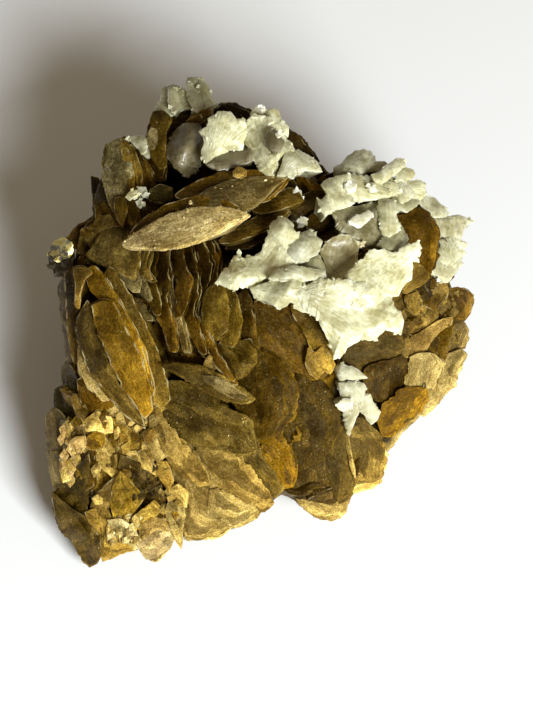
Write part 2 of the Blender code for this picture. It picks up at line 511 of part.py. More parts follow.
def new_collection(name):
    made = bpy.data.collections.new(name)
    bpy.context.scene.collection.children.link(made)
    return made


def hide_cutters(collection):
    for cutter in collection.all_objects:
        cutter.hide_render = True
        cutter.display_type = "WIRE"


def grown_group(name, crystals, frame, cutters, grow):
    """Crystals grown together: the first takes the rest in with one union."""
    group = bpy.data.collections.new(name)
    cutters.children.link(group)
    first = crystal_object(f"{name}_0", crystals[0], frame, cutters, PETAL_SEGMENTS, grow)
    for index, crystal in enumerate(crystals[1:], start=1):
        crystal_object(f"{name}_{index}", crystal, frame, group, PETAL_SEGMENTS, grow)
    if group.objects:
        boolean(first, "UNION", group)
    return first


def build_guests(frame, part, cutters):
    """Make each group of the other minerals, and a grown copy of it that will cut its seat."""
    seats = bpy.data.collections.new("seats")
    cutters.children.link(seats)
    cream = principled("dolomite", (0.80, 0.78, 0.66), 0.45, 0.0)
    brass = principled("brassy_sulphide", (0.42, 0.33, 0.14), 0.35, 0.7)
    for name, crystals in {**DOLOMITE_GROUPS, "brassy_grain": BRASSY_GRAIN}.items():
        grown = grown_group(f"{name}_petals", crystals, frame, cutters, 0.0)
        made = evaluated_copy(grown, name, part)
        made.data.materials.clear()
        made.data.materials.append(brass if crystals is BRASSY_GRAIN else cream)
        keep_largest_shell(made)
        seat = grown_group(f"{name}_seat", crystals, frame, cutters, SEAT_GAP)
        keep_largest_shell(evaluated_copy(seat, f"{name}_cutter", seats))
    return seats


def build_siderite(frame, part, cutters, seats):
    """Fuse the matrix and its crystals, trim the base flat and cut the dolomite's seats."""
    blades = bpy.data.collections.new("blades")
    cutters.children.link(blades)
    body = matrix_object(frame, cutters)
    for index, crystal in enumerate(FACE_CRYSTALS):
        root = max(0.0, crystal.lift + ROOT_REACH - 0.5 * crystal.thick)
        segments = SLIM_SEGMENTS if crystal.width < SLIM_WIDTH else CRYSTAL_SEGMENTS
        crystal_object(f"blade_{index}", crystal, frame, blades, segments, root=root)
    flank_crystals(frame, blades)
    boolean(body, "UNION", blades)
    fused = evaluated_copy(body, "fused", cutters)

    def slab(bm):
        shift = Matrix.Translation((0, 0, -BASE_SLAB * MM))
        bmesh.ops.create_cube(bm, size=2 * BASE_SLAB * MM, matrix=shift)

    floor = mesh_object("base_trim", slab, cutters)
    boolean(fused, "DIFFERENCE", floor)
    boolean(fused, "DIFFERENCE", seats)
    siderite = evaluated_copy(fused, "siderite_crystals", part)
    siderite.data.materials.clear()
    siderite.data.materials.append(principled("siderite", (0.20, 0.12, 0.03), 0.4, 0.0))
    keep_largest_shell(siderite)


def main():
    for old in list(bpy.data.objects):
        bpy.data.objects.remove(old)
    part = new_collection("siderite_specimen")
    cutters = new_collection("cutters")
    frame = face_matrix()
    seats = build_guests(frame, part, cutters)
    build_siderite(frame, part, cutters, seats)
    hide_cutters(cutters)
    for made in part.objects:
        made.data.calc_loop_triangles()
        print(made.name, len(made.data.loop_triangles), "triangles")


main()
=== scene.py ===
# %% [markdown]
# # A siderite specimen with dolomite
#
# This lesson dresses a hand specimen: golden-brown siderite, an iron carbonate that grows as curved
# blades and lenses, with petals of cream-white saddle dolomite on top.  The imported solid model
# gives the size and the place of everything.  Here each crystal is made again as a fine surface
# with growth ledges, ragged edges and a finish of its own.

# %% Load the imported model
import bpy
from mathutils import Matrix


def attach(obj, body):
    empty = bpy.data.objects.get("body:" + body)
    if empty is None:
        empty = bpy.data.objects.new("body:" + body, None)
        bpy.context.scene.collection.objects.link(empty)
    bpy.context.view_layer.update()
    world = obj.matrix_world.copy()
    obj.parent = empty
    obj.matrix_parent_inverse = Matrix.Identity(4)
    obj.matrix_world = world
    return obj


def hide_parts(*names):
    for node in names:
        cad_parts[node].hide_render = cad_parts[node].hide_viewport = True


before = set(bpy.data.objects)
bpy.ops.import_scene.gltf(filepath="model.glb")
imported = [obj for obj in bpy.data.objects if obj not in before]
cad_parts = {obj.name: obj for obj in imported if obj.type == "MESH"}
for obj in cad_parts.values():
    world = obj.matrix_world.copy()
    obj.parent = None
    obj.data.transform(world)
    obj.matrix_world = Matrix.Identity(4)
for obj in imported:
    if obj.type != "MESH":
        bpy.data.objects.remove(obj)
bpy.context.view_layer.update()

import math
import random
from typing import NamedTuple

import bpy
import numpy as np
from mathutils import Vector

print("solids to dress:", sorted(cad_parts))

# %% [markdown]
# ## The face frame
#
# The showy face of the specimen leans back.  It is easiest to place crystals on it in axes of its
# own: "across" the face, "up" along it and "out" from it.  One matrix turns those axes into the
# world.  All sizes are in millimetres until a mesh is made.

# %% Axes of the face
MM = 0.001
FACE_RISE = 60.0
FACE_MIDDLE = np.array([0.55, -5.0, 30.0])
RISE = math.radians(FACE_RISE)
FACE_AXES = np.array([[1.0, 0.0, 0.0],
                      [0.0, math.sin(RISE), math.cos(RISE)],
                      [0.0, -math.cos(RISE), math.sin(RISE)]])


def face_to_world(points):
    """Weights the three face axes by each point's across, up and out, and adds the middle."""
    return points @ FACE_AXES + FACE_MIDDLE


print("face turned", FACE_RISE, "degrees up from the table")

# %% [markdown]
# ## The dome
#
# The crystals stand on a gently domed face that falls away towards its edges, faster on the right
# than on the left.  A parabola in each direction is enough, because the crystals hide the surface.

# %% Height of the dome
DOME_TOP = 5.0
DOME_FALL_LEFT, DOME_FALL_RIGHT = 9.0, 16.0
DOME_FALL_UP, DOME_FALL_DOWN = 18.0, 15.0
DOME_HALF_WIDTH, DOME_HALF_HEIGHT = 34.0, 42.0
DOME_CENTRE_UP = -6.0


def dome(across, up):
    """Top height less one fall times (across / half width) squared, less the same for up."""
    side_fall = np.where(across < 0, DOME_FALL_LEFT, DOME_FALL_RIGHT)
    end_fall = np.where(up < DOME_CENTRE_UP, DOME_FALL_DOWN, DOME_FALL_UP)
    fall_across = side_fall * (across / DOME_HALF_WIDTH) ** 2
    fall_up = end_fall * ((up - DOME_CENTRE_UP) / DOME_HALF_HEIGHT) ** 2
    return DOME_TOP - fall_across - fall_up


print("dome from", DOME_TOP, "down to", round(float(dome(34.0, -6.0)), 1), "mm")

# %% [markdown]
# ## Roughness made of waves
#
# Nothing in a crystal is quite smooth.  Instead of a noise texture, which only bends light, these
# helpers give real relief: sums of sine waves in random directions.  The same sum over a length
# makes an outline wander, and a sawtooth warped by it gives the ragged teeth of a broken rim.

# %% Wave helpers
SEED = 11
WAVE_SPREAD = (0.7, 1.6)  # shortest and longest wave of a sum, as shares of its wavelength
TOOTH_WARP = 0.6          # how far teeth slip along a rim, as a share of a tooth
TOOTH_BITE = 1.6          # above 1, a tooth rises slowly and breaks off steeply
PATCH_MEAN, PATCH_SWING = 0.6, 0.5
chance = np.random.default_rng(SEED)


def unit(vectors):
    """Vectors, one in each row, divided by their lengths."""
    return vectors / np.linalg.norm(vectors, axis=1, keepdims=True)


def rumple(points, wavelength, waves=9):
    """Smooth random field over points: sines along random directions, scaled to spread about 1."""
    size = points.shape[-1]
    directions = unit(chance.normal(size=(waves, size)))
    pace = 2 * np.pi / (wavelength * chance.uniform(*WAVE_SPREAD, waves))
    phase = chance.uniform(0, 2 * np.pi, waves)
    swing = np.sin(points @ directions.T * pace + phase)
    return swing.sum(-1) * math.sqrt(2.0 / waves)


def patchy(points, wavelength, most):
    """Strength that comes and goes: the mean plus the swing times a wave sum, 0 to "most"."""
    return np.clip(PATCH_MEAN + PATCH_SWING * rumple(points, wavelength), 0.0, most)


def notches(length, tooth):
    """Ragged teeth along a length: a warped sawtooth of uneven strength, 0 to about 1."""
    place = length / tooth + TOOTH_WARP * rumple(length[:, None], 4.0 * tooth)
    strength = patchy(length[:, None], 6.0 * tooth, 1.3)
    return (place - np.floor(place)) ** TOOTH_BITE * strength


def smooth_step(value, low, high):
    """Rises from 0 at low to 1 at high along 3 t squared less 2 t cubed."""
    share = np.clip((value - low) / (high - low), 0.0, 1.0)
    return share * share * (3 - 2 * share)


print("wave helpers ready, seed", SEED)

# %% [markdown]
# ## What describes a plate
#
# Seen from the front, every crystal of the face is a plate with an outline of its own: a lens, a
# blade, a broken tile, a petal.  A row names its tone, says how high its face lies over the dome
# and how it is tilted, how deep it is rooted, and gives the few points that its outline needs.
# The rows are kept as plain text, which is easier to read than many nested brackets.

# %% The plate record and the tones
class Plate(NamedTuple):
    """One crystal seen face on."""
    tone: str
    rise: float           # height of its face over the dome
    tilt_across: float    # extra slope of the face, rising to the right
    tilt_up: float        # extra slope of the face, rising upward
    root: float           # how deep it reaches under its face
    outline: tuple        # a few points, across and up


def plate_rows(table):
    """Plates from a table of text.  A row holds the tone, rise, two tilts and root, then a colon
    and the outline's points between commas, and goes on in the lines set in below it."""
    plates = []
    for row in table.strip().replace("\n ", " ").splitlines():
        head, points = row.split(":")
        tone, *numbers = head.split()
        outline = tuple(tuple(map(float, point.split())) for point in points.split(","))
        plates.append(Plate(tone, *map(float, numbers), outline))
    return plates


# Some tones carry painted light.  The dolomite is one cream-white material: bright is a painted
# highlight, and cream_white, grey_white, grey_cream, cream_grey, tan_white, throat_tan and
# light coming through thin crystal.
# shade deep in the gaps, and the gold tones are partly the siderite's own colour and partly painted
# shade_grey are painted shade.  The dark tone also serves for backing sheets, painted near-black as
TONE_ROWS = """
dark 0.022 0.014 0.003
dark_mottle 0.06 0.04 0.01
dark_to_amber 0.095 0.056 0.006
dark_olive_rim 0.055 0.034 0.003
brown_dark 0.045 0.027 0.003
brown 0.058 0.035 0.005
brown_grey 0.09 0.063 0.016
brown_sparkle 0.088 0.062 0.013
violet 0.085 0.055 0.012
olive_dark 0.052 0.036 0.006
olive 0.085 0.058 0.009
olive_rim 0.06 0.036 0.003
olive_sparkle 0.12 0.085 0.018
olive_gold 0.19 0.128 0.016
olive_tan 0.15 0.105 0.022
green_dark 0.055 0.045 0.016
grey_green 0.15 0.134 0.074
grey_light 0.13 0.104 0.046
mottle 0.17 0.12 0.034
mottle_grey 0.16 0.12 0.048
frost 0.56 0.48 0.29
frost_dark 0.14 0.112 0.05
tan_grey 0.16 0.13 0.064
tan_green 0.115 0.088 0.028
tan_olive 0.18 0.126 0.03
tan_sparkle 0.25 0.18 0.055
tan_gold 0.3 0.232 0.09
tan 0.18 0.125 0.035
tan_light 0.26 0.185 0.065
amber_dark 0.07 0.04 0.003
amber_brown 0.11 0.062 0.005
amber 0.11 0.066 0.005
amber_mid 0.175 0.1 0.004
amber_gold 0.18 0.108 0.008
amber_rim 0.15 0.09 0.012
amber_tan 0.28 0.19 0.042
gold_amber 0.2 0.124 0.012
gold 0.38 0.27 0.055
gold_rough 0.26 0.175 0.035
gold_pale 0.275 0.222 0.098
cream_gold 0.6 0.46 0.17
cream_edge 0.5 0.4 0.19
cream 0.62 0.55 0.33
peach 0.52 0.38 0.19
pale_grey 0.4 0.32 0.18
blue_grey 0.16 0.152 0.133
flank 0.095 0.07 0.031
white 0.63 0.62 0.44
cream_white 0.58 0.57 0.39
grey_white 0.46 0.45 0.33
blue_white 0.5 0.5 0.38
bright 0.86 0.86 0.78
cream_grey 0.34 0.325 0.205
green_white 0.42 0.42 0.29
grey_cream 0.46 0.44 0.31
pale_wedge 0.52 0.52 0.41
pale_yellow 0.58 0.55 0.34
shade_grey 0.165 0.14 0.082
tan_white 0.34 0.3 0.17
white_tan 0.56 0.545 0.4
brass 0.56 0.46 0.17
tarnish 0.06 0.045 0.022
white_lit 0.82 0.81 0.58
sage 0.15 0.138 0.082
throat_tan 0.26 0.235 0.14
"""
TONES = {name: tuple(map(float, levels))      # red, green and blue, as light adds up
         for name, *levels in map(str.split, TONE_ROWS.strip().splitlines())}
print(len(TONES), "tones")

# %% [markdown]
# ## From a few points to a rim
#
# A smooth closed curve goes through the points of the outline.  Its two points that lie farthest
# apart are the tips, and the curve between them gives the two sides of the plate.

# %% Outline curve and sides
SPAN_STEPS = 12           # steps of the curve from one outline point to the next
ROWS = (9, 90)            # fewest and most rows from tip to tip
ROW_CROWDING = 0.4        # share of the rows' steps that shortens towards the tips


def crowded(even, share):
    """Even steps from 0 to 1, a share of them drawn to both ends along half a cosine wave."""
    return (1 - share) * even + share * 0.5 * (1 - np.cos(np.pi * even))


def outline_curve(outline, roundness):
    """Closed curve: a cubic span between neighbours, whose slope at each point is "roundness"
    times the line from the point before it to the point after it."""
    corner = np.array(outline, float)
    after = np.roll(corner, -1, 0)
    turning = (corner[:, 0] * after[:, 1] - corner[:, 1] * after[:, 0]).sum()
    if turning < 0:
        corner = corner[::-1]
        after = np.roll(corner, -1, 0)
    slope = roundness * (after - np.roll(corner, 1, 0))
    next_slope = np.roll(slope, -1, 0)
    t = np.linspace(0, 1, SPAN_STEPS, endpoint=False)[:, None, None]
    curve = ((2 * t ** 3 - 3 * t ** 2 + 1) * corner + (t ** 3 - 2 * t ** 2 + t) * slope
             + (3 * t ** 2 - 2 * t ** 3) * after + (t ** 3 - t ** 2) * next_slope)
    away = np.linalg.norm(corner[:, None] - corner[None], axis=-1)
    first, second = np.unravel_index(away.argmax(), away.shape)
    return curve.transpose(1, 0, 2).reshape(-1, 2), first * SPAN_STEPS, second * SPAN_STEPS


def two_sides(curve, first, second, spacing):
    """Left and right side from the first tip to the second, in steps that shorten at the tips."""
    rolled = np.roll(curve, -first, axis=0)
    split = (second - first) % len(curve)
    right = rolled[:split + 1]
    left = np.concatenate([rolled[split:], rolled[:1]])[::-1]
    gone = [np.concatenate([[0], np.cumsum(np.linalg.norm(np.diff(side, axis=0), axis=1))])
            for side in (left, right)]
    rows = int(np.clip(0.5 * (gone[0][-1] + gone[1][-1]) / spacing, *ROWS))
    share = crowded(np.linspace(0, 1, rows + 2)[1:-1], ROW_CROWDING)
    left, right = [np.stack([np.interp(share * reach[-1], reach, side[:, k]) for k in (0, 1)], -1)
                   for side, reach in zip((left, right), gone)]
    return left, right, curve[first], curve[second], share * 0.5 * (gone[0][-1] + gone[1][-1])


print("outline curves in", SPAN_STEPS, "steps from point to point")

# %% [markdown]
# ## One plate as a surface of two parameters
#
# A plate is a closed surface.  One parameter runs from tip to tip.  The other runs once round the
# section: across the face, down the wall, back under the plate and up the other wall.  Under it a
# keel leans in towards the middle of the face, so that a real shadow falls between two plates.
# What differs from one kind of plate to another is a style: a blade, a cleaved step or a petal.

# %% Styles
class Style(NamedTuple):
    """How a kind of plate differs in the fine surface.  Lengths in millimetres."""
    spacing: float        # distance between points
    roundness: float      # 0.5 a fully round curve, 0 straight lines between outline points
    wander: float         # how far the rim wanders
    teeth: float          # depth of the notches in the rim
    tooth: float          # length of a notch
    thick: float          # thickness at the rim
    ledge: float          # height of a growth ledge on the face
    relief: float         # height of the lumps on the face
    striae: float         # height of the fine lines
    fan: bool             # lines fan out from a tip instead of lying along the plate
    crown: float          # bulge of the face, as a share of its width
    saddle: float         # how far the tips curl up and the sides curl down
    # Next: painted light, a thin rim painted lighter and a plate painted lighter towards the lamp
    glow: float           # how much lighter the thin rim is than the middle
    swell: float          # how far the rim reaches past its outline, under its neighbours
    warp: float           # height of the slow bending of the whole plate
    ruffle: float         # height of the waves that run along the rim
    terrace: float        # height of the uneven growth steps on the face
    # Next: the pale rim line, partly the paler broken edge, partly a painted highlight
    worn: float           # how pale the line along the rim is


BLADE = Style(
    spacing=0.34, roundness=0.17, wander=0.08, teeth=0.16, tooth=0.8, thick=0.80, ledge=0.03,
    relief=0.03, striae=0.015, fan=False, crown=0.01, saddle=0.0, glow=0.45, swell=0.22,
    warp=0.10, ruffle=0.07, terrace=0.14, worn=0.6)
STEPPED = BLADE._replace(
    roundness=0.10, wander=0.14, teeth=0.22, tooth=0.9, thick=0.90, ledge=0.12, relief=0.08,
    striae=0.020, crown=0.02, glow=0.35, swell=0.25, ruffle=0.10, terrace=0.30)
PETAL = BLADE._replace(
    spacing=0.24, roundness=0.13, wander=0.10, teeth=0.34, tooth=1.15, thick=0.22, relief=0.02,
    striae=0.030, fan=True, crown=0.04, saddle=0.9, glow=0.22, swell=0.12, warp=0.70,
    ruffle=0.16, terrace=0.10, worn=0.9)
print("points", BLADE.spacing, "mm apart on a blade and", PETAL.spacing, "mm on a petal")


# %% [markdown]
# ## Bundles of arrays
#
# A surface is kept as plain arrays until its piece is complete: points, the corner numbers of its
# faces, and what the finish has to know at each point.  Many such bundles join into one mesh,
# which Blender handles much faster than many small objects.

# %% Closing a tube and joining surfaces
def close_tube(grid, first_pole, last_pole):
    """Points and faces of a closed tube: its rows, joined in quads, and a fan at each pole."""
    rows, around, _ = grid.shape
    points = np.concatenate([grid.reshape(-1, 3), [first_pole, last_pole]])
    index = np.arange(rows * around).reshape(rows, around)
    after = np.roll(index, -1, axis=1)
    quads = np.stack([index[:-1], after[:-1], after[1:], index[1:]], -1).reshape(-1, 4)
    first = np.full(around, rows * around)
    fans = np.concatenate([np.stack([first, after[0], index[0]], -1),
                           np.stack([first + 1, index[-1], after[-1]], -1)])
    return points, quads, fans


def surface(points, quads, fans, tone, edge, grain):
    """Bundle of arrays that a mesh is made from."""
    return {"points": points, "quads": quads, "fans": fans,
            "tone": tone, "edge": edge, "grain": grain}


def join(bundles):
    """One bundle from many: the arrays end to end, with the corner numbers shifted."""
    starts = np.cumsum([0] + [len(bundle["points"]) for bundle in bundles[:-1]])
    joined = {key: np.concatenate([bundle[key] for bundle in bundles])
              for key in ("points", "tone", "edge", "grain")}
    for key in ("quads", "fans"):
        joined[key] = np.concatenate([b[key] + start for b, start in zip(bundles, starts)])
    return joined


print("a bundle holds points, two kinds of faces, tone, edge and grain")

# %% [markdown]
# ## Ragged sides
#
# A crystal edge that broke is never a clean curve.  Both sides of a plate move in and out along
# the line between them, less on narrow plates, and reach a little under their neighbours.

# %% Ragged sides
TINY = 1e-6               # added to a length before something is divided by it
WANDER_LENGTH, WANDER_FINE = 3.5, 1.2
WANDER_WIDTH = 4.0        # a plate narrower than this wanders and is notched less
SWELL_WIDTH = 2.0         # a plate narrower than this swells less


def ragged(side, other, along, width, style):
    """Moves a side in and out along the line from the other side: a slow wander and notches."""
    outward = (side - other) / width[:, None]
    wander = style.wander * (rumple(along[:, None], WANDER_LENGTH)
                             + 0.5 * rumple(along[:, None], WANDER_FINE))
    loose = wander - style.teeth * notches(along, style.tooth)
    loose = (loose * np.minimum(1.0, width / WANDER_WIDTH)
             + style.swell * np.minimum(1.0, width / SWELL_WIDTH))
    return side + outward * loose[:, None], outward


print("rims wander about once in", WANDER_LENGTH, "mm")

# %% [markdown]
# ## Relief of a face
#
# Siderite and dolomite grow in sheets that stop short of each other, so a face is never flat.  It
# crowns or saddles, bends slowly, ruffles along its rim, climbs in terraces, carries lumps and
# fine lines, and drops a ledge at a time towards the rim.

# %% Height of a face
RELIEF_WIDTH = 5.0        # a plate narrower than this has less relief
LUMP_LENGTH, LUMP_FINE = 3.2, 1.2
WARP_LENGTH = 8.0
RUFFLE_LENGTH, RUFFLE_REACH = 4.0, 1.5
TERRACE_LENGTH, TERRACE_RANGE = 4.5, 1.3
TERRACE_TREAD = 0.82      # share of a terrace that is flat before it climbs to the next
LEDGE_PLACES = (0.4, 0.9, 1.5, 2.3)   # how far in from the rim the ledges run
LEDGE_RUN = 0.12
LEDGE_WANDER, LEDGE_LENGTH = 0.25, 3.0
FAN_LINES, BLADE_LINES = (46.0, 1.6, 4.0), (7.0, 1.5, 5.0)    # pace, bend and its wavelength
FEW_WAVES = 4
RIM_DROP, RIM_SOFT = 0.08, 0.07


def face_height(flat, v, from_rim, along, width, first_tip, style, height):
    """Height of each face point: the given one, plus crown, saddle, slow bending, ruffles,
    terraces, lumps and lines, less a drop for each growth ledge between the point and the
    middle, less the rounding of the rim."""
    t = (along / along[-1])[:, None]
    body = np.minimum(1.0, width / RELIEF_WIDTH)[:, None]
    base = height(flat) + style.crown * width.max() * (1 - (2 * v - 1) ** 2) * body
    base = base + style.saddle * body * ((2 * t - 1) ** 2 - (2 * v - 1) ** 2)
    lumps = style.relief * (rumple(flat, LUMP_LENGTH) + 0.5 * rumple(flat, LUMP_FINE)) * body
    base = base + style.warp * rumple(flat, WARP_LENGTH, FEW_WAVES) * body
    for far in (v, 1 - v):
        wave = rumple(along[:, None], RUFFLE_LENGTH)[:, None]
        base = base + style.ruffle * body * wave * np.exp(-far * width[:, None] / RUFFLE_REACH)
    climb = rumple(flat, TERRACE_LENGTH) * TERRACE_RANGE
    level = np.floor(climb) + smooth_step(climb - np.floor(climb), TERRACE_TREAD, 1.0)
    base = base + style.terrace * body * level
    near = from_rim + LEDGE_WANDER * rumple(flat, LEDGE_LENGTH)
    ledges = sum(smooth_step(near, place, place + LEDGE_RUN) for place in LEDGE_PLACES)
    ledges = style.ledge * (ledges - len(LEDGE_PLACES)) * body
    if style.fan:
        across = np.arctan2(flat[..., 1] - first_tip[1], flat[..., 0] - first_tip[0])
    else:
        across = v * width.max()
    pace, bend, wavelength = FAN_LINES if style.fan else BLADE_LINES
    lines = np.sin(across * pace + bend * rumple(flat, wavelength, FEW_WAVES))
    rim = RIM_DROP * np.exp(-from_rim / RIM_SOFT)
    return base + lumps + ledges + style.striae * lines * body - rim


print(len(LEDGE_PLACES), "growth ledges within", LEDGE_PLACES[-1], "mm of the rim")

# %% [markdown]
# ## Walls and keel
#
# The wall goes down from the rim in three uneven steps.  Under the plate four columns of points
# make the keel, deep in the middle of the plate and running out at its tips.

# %% Walls and keel
WALL_SHARES = np.array([0.3, 0.65, 1.0])
WALL_STEP, WALL_INSET = 0.10, 0.16
WALL_LENGTH = 2.0
WALL_WIDTH = 3.0          # a plate narrower than this has plainer walls
BACK_COLUMNS = np.array([0.88, 0.60, 0.40, 0.12])
BACK_DEPTHS = np.array([0.25, 1.0, 1.0, 0.25])
KEEL_LEAN = 0.55          # how far the keel leans in towards the middle for each millimetre down


def wall(rim, outward, rim_height, thin, along, width):
    """Points down a wall: wall share times the thickness below the rim, stepped in and out."""
    step = WALL_STEP * np.stack([rumple(along[:, None], WALL_LENGTH) for _ in WALL_SHARES], 1)
    inset = (step - WALL_INSET * WALL_SHARES) * np.minimum(1.0, width / WALL_WIDTH)[:, None]
    place = rim[:, None] + outward[:, None] * inset[..., None]
    drop = rim_height[:, None] - thin[:, None] * WALL_SHARES
    return np.concatenate([place, drop[..., None]], -1)


def keel(left, right, out, thin, deep):
    """Points under a plate: the two rims mixed by column, lowered, and moved in towards the
    middle of the face by the lean times the depth, at most half of the way."""
    share = BACK_COLUMNS
    under = left[:, None] * (1 - share[:, None]) + right[:, None] * share[:, None]
    rims = out[:, 0, None] * (1 - share) + out[:, -1, None] * share
    depth = deep[:, None] * BACK_DEPTHS
    reach = np.linalg.norm(under, axis=-1) + TINY
    under = under * (1 - np.minimum(KEEL_LEAN * depth, 0.5 * reach) / reach)[..., None]
    low = rims - thin[:, None] - depth
    return np.concatenate([under, low[..., None]], -1)


print(len(WALL_SHARES), "points down a wall and", len(BACK_COLUMNS), "across the keel")

# %% [markdown]
# ## What the finish has to know
#
# Light is painted into the tone: a thin rim is painted lighter, as if light came through it,
# fading over half a millimetre, and a plate is painted lighter on the side that faces the lamp.
# "Edge" says how pale the line along the rim is, partly the paler broken edge and partly a
# painted highlight.  "Grain" holds coordinates along, across and through the crystal, so that
# growth lines follow it.

# %% Edge, glow and grain
# The pale rim line is partly the paler broken edge and partly a painted highlight.
LINE_WIDTH = 0.20         # width of the pale line on a broken rim
LINE_LENGTH = 2.5         # how soon the pale line comes and goes
# Painted light: how far in a rim is painted lighter, and how much towards the lamp
PAINTED_GLOW_REACH = 0.55         # how far in from the rim the light still comes through
LIT_SIDE = np.array([0.77, -0.64])    # across and up, towards the side that lets the light in
PAINTED_LIT_GAIN = 0.40           # how strongly a plate lightens towards that side
LIT_WIDTH = 3.0           # plates narrower than this lighten as if they were this wide
FAN_GRAIN = 7.0           # millimetres of grain for each radian of a fan
GRAIN_SHIFT = 50          # every crystal's grain starts somewhere else, up to this far away


def rim_line(flat, from_rim, style):
    """Pale rim line, partly wear and partly a painted highlight: a bell of the distance from the
    rim, times a strength that comes and goes.
    """
    bell = np.exp(-(from_rim / LINE_WIDTH) ** 2)
    return style.worn * bell * patchy(flat, LINE_LENGTH, 1.2)


def rim_glow(flat, from_rim, width, style):
    """Painted light: one plus the glow painted in from the rim, times e to the power of a slope
    that rises towards the lit side and levels off."""
    lit = (flat - flat.mean((0, 1))) @ LIT_SIDE / (0.5 * max(width.max(), LIT_WIDTH))
    gain = PAINTED_LIT_GAIN * style.glow / BLADE.glow
    return (1 + style.glow * np.exp(-from_rim / PAINTED_GLOW_REACH)) * np.exp(gain * np.tanh(lit))


def widened(values, columns, fill):
    """Values of the face followed by one value for the columns of the walls and the keel."""
    return np.concatenate([values, np.full((len(values), columns), fill)], 1)


def grain_of(grid, v, along, width, first_tip, style):
    """Length along a plate, distance across it and height; in a fan, distance from the tip and
    bearing from it instead of the first two."""
    if style.fan:
        spread = grid[..., :2] - first_tip
        length = np.hypot(spread[..., 0], spread[..., 1])
        cross = FAN_GRAIN * np.arctan2(spread[..., 1], spread[..., 0])
    else:
        length = np.repeat(along[:, None], grid.shape[1], 1)
        cross = widened(v.repeat(len(along), 0) * width.max(), grid.shape[1] - v.shape[1], 0.0)
    shift = chance.uniform(-GRAIN_SHIFT, GRAIN_SHIFT, 3)
    return np.stack([length, cross, grid[..., 2]], -1) + shift


print("light shows", PAINTED_GLOW_REACH, "mm in from a rim")

# %% [markdown]
# ## The whole plate
#
# With its parts ready, a plate is short to write: ragged sides, a grid of face points between
# them, the walls and the keel, and the arrays for the finish.

# %% A plate's surface
COLUMNS = (7, 46)         # fewest and most columns from rim to rim
COLUMN_CROWDING = 0.45
TIP_TAPER = 1.4           # length over which the wall thins out towards a tip
TIP_POWER = 0.7
KEEL_TAPER = 0.22         # share of the plate over which the keel runs out towards a tip
WALL_EDGE, TIP_EDGE = 0.15, 0.5
TONE_SPREAD = (0.88, 1.14)            # darkest and lightest a plate may be, against its tone


def plate_surface(sides, style, root, height, tone):
    """Closed surface of a plate whose face lies at "height" over the plane of its outline.

    Face points are (1 - v) times the left side plus v times the right side.  The right wall, the
    keel and the left wall go back round under them.
    """
    straight_left, straight_right, first_tip, last_tip, along = sides
    width = np.linalg.norm(straight_right - straight_left, axis=1) + TINY
    left, outward_left = ragged(straight_left, straight_right, along, width, style)
    right, outward_right = ragged(straight_right, straight_left, along, width, style)
    columns = int(np.clip(width.max() / style.spacing, *COLUMNS))
    v = crowded(np.linspace(0, 1, columns), COLUMN_CROWDING)[None]
    flat = left[:, None] * (1 - v[..., None]) + right[:, None] * v[..., None]
    from_rim = np.minimum(v, 1 - v) * width[:, None]
    out = face_height(flat, v, from_rim, along, width, first_tip, style, height)

    tip_far = np.minimum(along, along[-1] - along + along[0])
    thin = np.minimum(1.0, tip_far / TIP_TAPER) ** TIP_POWER * style.thick
    deep = np.minimum(1.0, tip_far / (KEEL_TAPER * along[-1]))
    deep = deep * np.maximum(0.0, root - style.thick)
    face = np.concatenate([flat, out[..., None]], -1)
    right_wall = wall(right, outward_right, out[:, -1], thin, along, width)
    left_wall = wall(left, outward_left, out[:, 0], thin, along, width)
    under = keel(left, right, out, thin, deep)
    grid = np.concatenate([face, right_wall, under, left_wall[:, ::-1]], 1)

    rest = grid.shape[1] - columns
    edge = widened(rim_line(flat, from_rim, style), rest, WALL_EDGE)
    # Painted light: the tone is painted lighter at a thin rim and towards the lamp's side
    glow = widened(rim_glow(flat, from_rim, width, style), rest, 1.0)
    own = grain_of(grid, v, along, width, first_tip, style)
    tips = [np.append(tip, row[..., 2].mean()) for tip, row in
            ((first_tip, face[0]), (last_tip, face[-1]))]
    points, quads, fans = close_tube(grid, *tips)
    # The tone times that painted light, and a random spread
    tones = np.array(tone) * chance.uniform(*TONE_SPREAD) * glow[..., None]
    ends = np.stack([tones[0].mean(0), tones[-1].mean(0)])
    return surface(points, quads, fans, np.concatenate([tones.reshape(-1, 3), ends]),
                   np.concatenate([edge.ravel(), [TIP_EDGE, TIP_EDGE]]),
                   np.concatenate([own.reshape(-1, 3), own[0, :1], own[-1, :1]]))


print("plates of", COLUMNS[0], "to", COLUMNS[1], "columns and", ROWS[0], "to", ROWS[1], "rows")

# %% [markdown]
# ## Placing a plate
#
# A plate's outline is the one that is seen straight from the front at arm's length, so points
# that lie lower move inward along the line of sight.  A siderite plate is a packet: a second layer
# shows below the top one, a little lower, wider and out of step.

# %% A plate of the face
SIGHT_DISTANCE = 500.0    # the outlines are the ones seen from here, straight out from the middle
SIGHT_MIDDLE = np.array([0.72, -4.88])
LAYER_STEP = 0.55         # how far the second layer lies below the first
LAYER_SLIP = 0.22         # how far it slips sideways
LAYER_GROWTH = 0.015      # how much wider it is, as a share


def along_sight(points):
    """Moves points sideways so that those lower down still lie on the outline that is seen."""
    share = 1 - points[:, 2:] / SIGHT_DISTANCE
    return np.concatenate([SIGHT_MIDDLE + (points[:, :2] - SIGHT_MIDDLE) * share,
                           points[:, 2:]], 1)


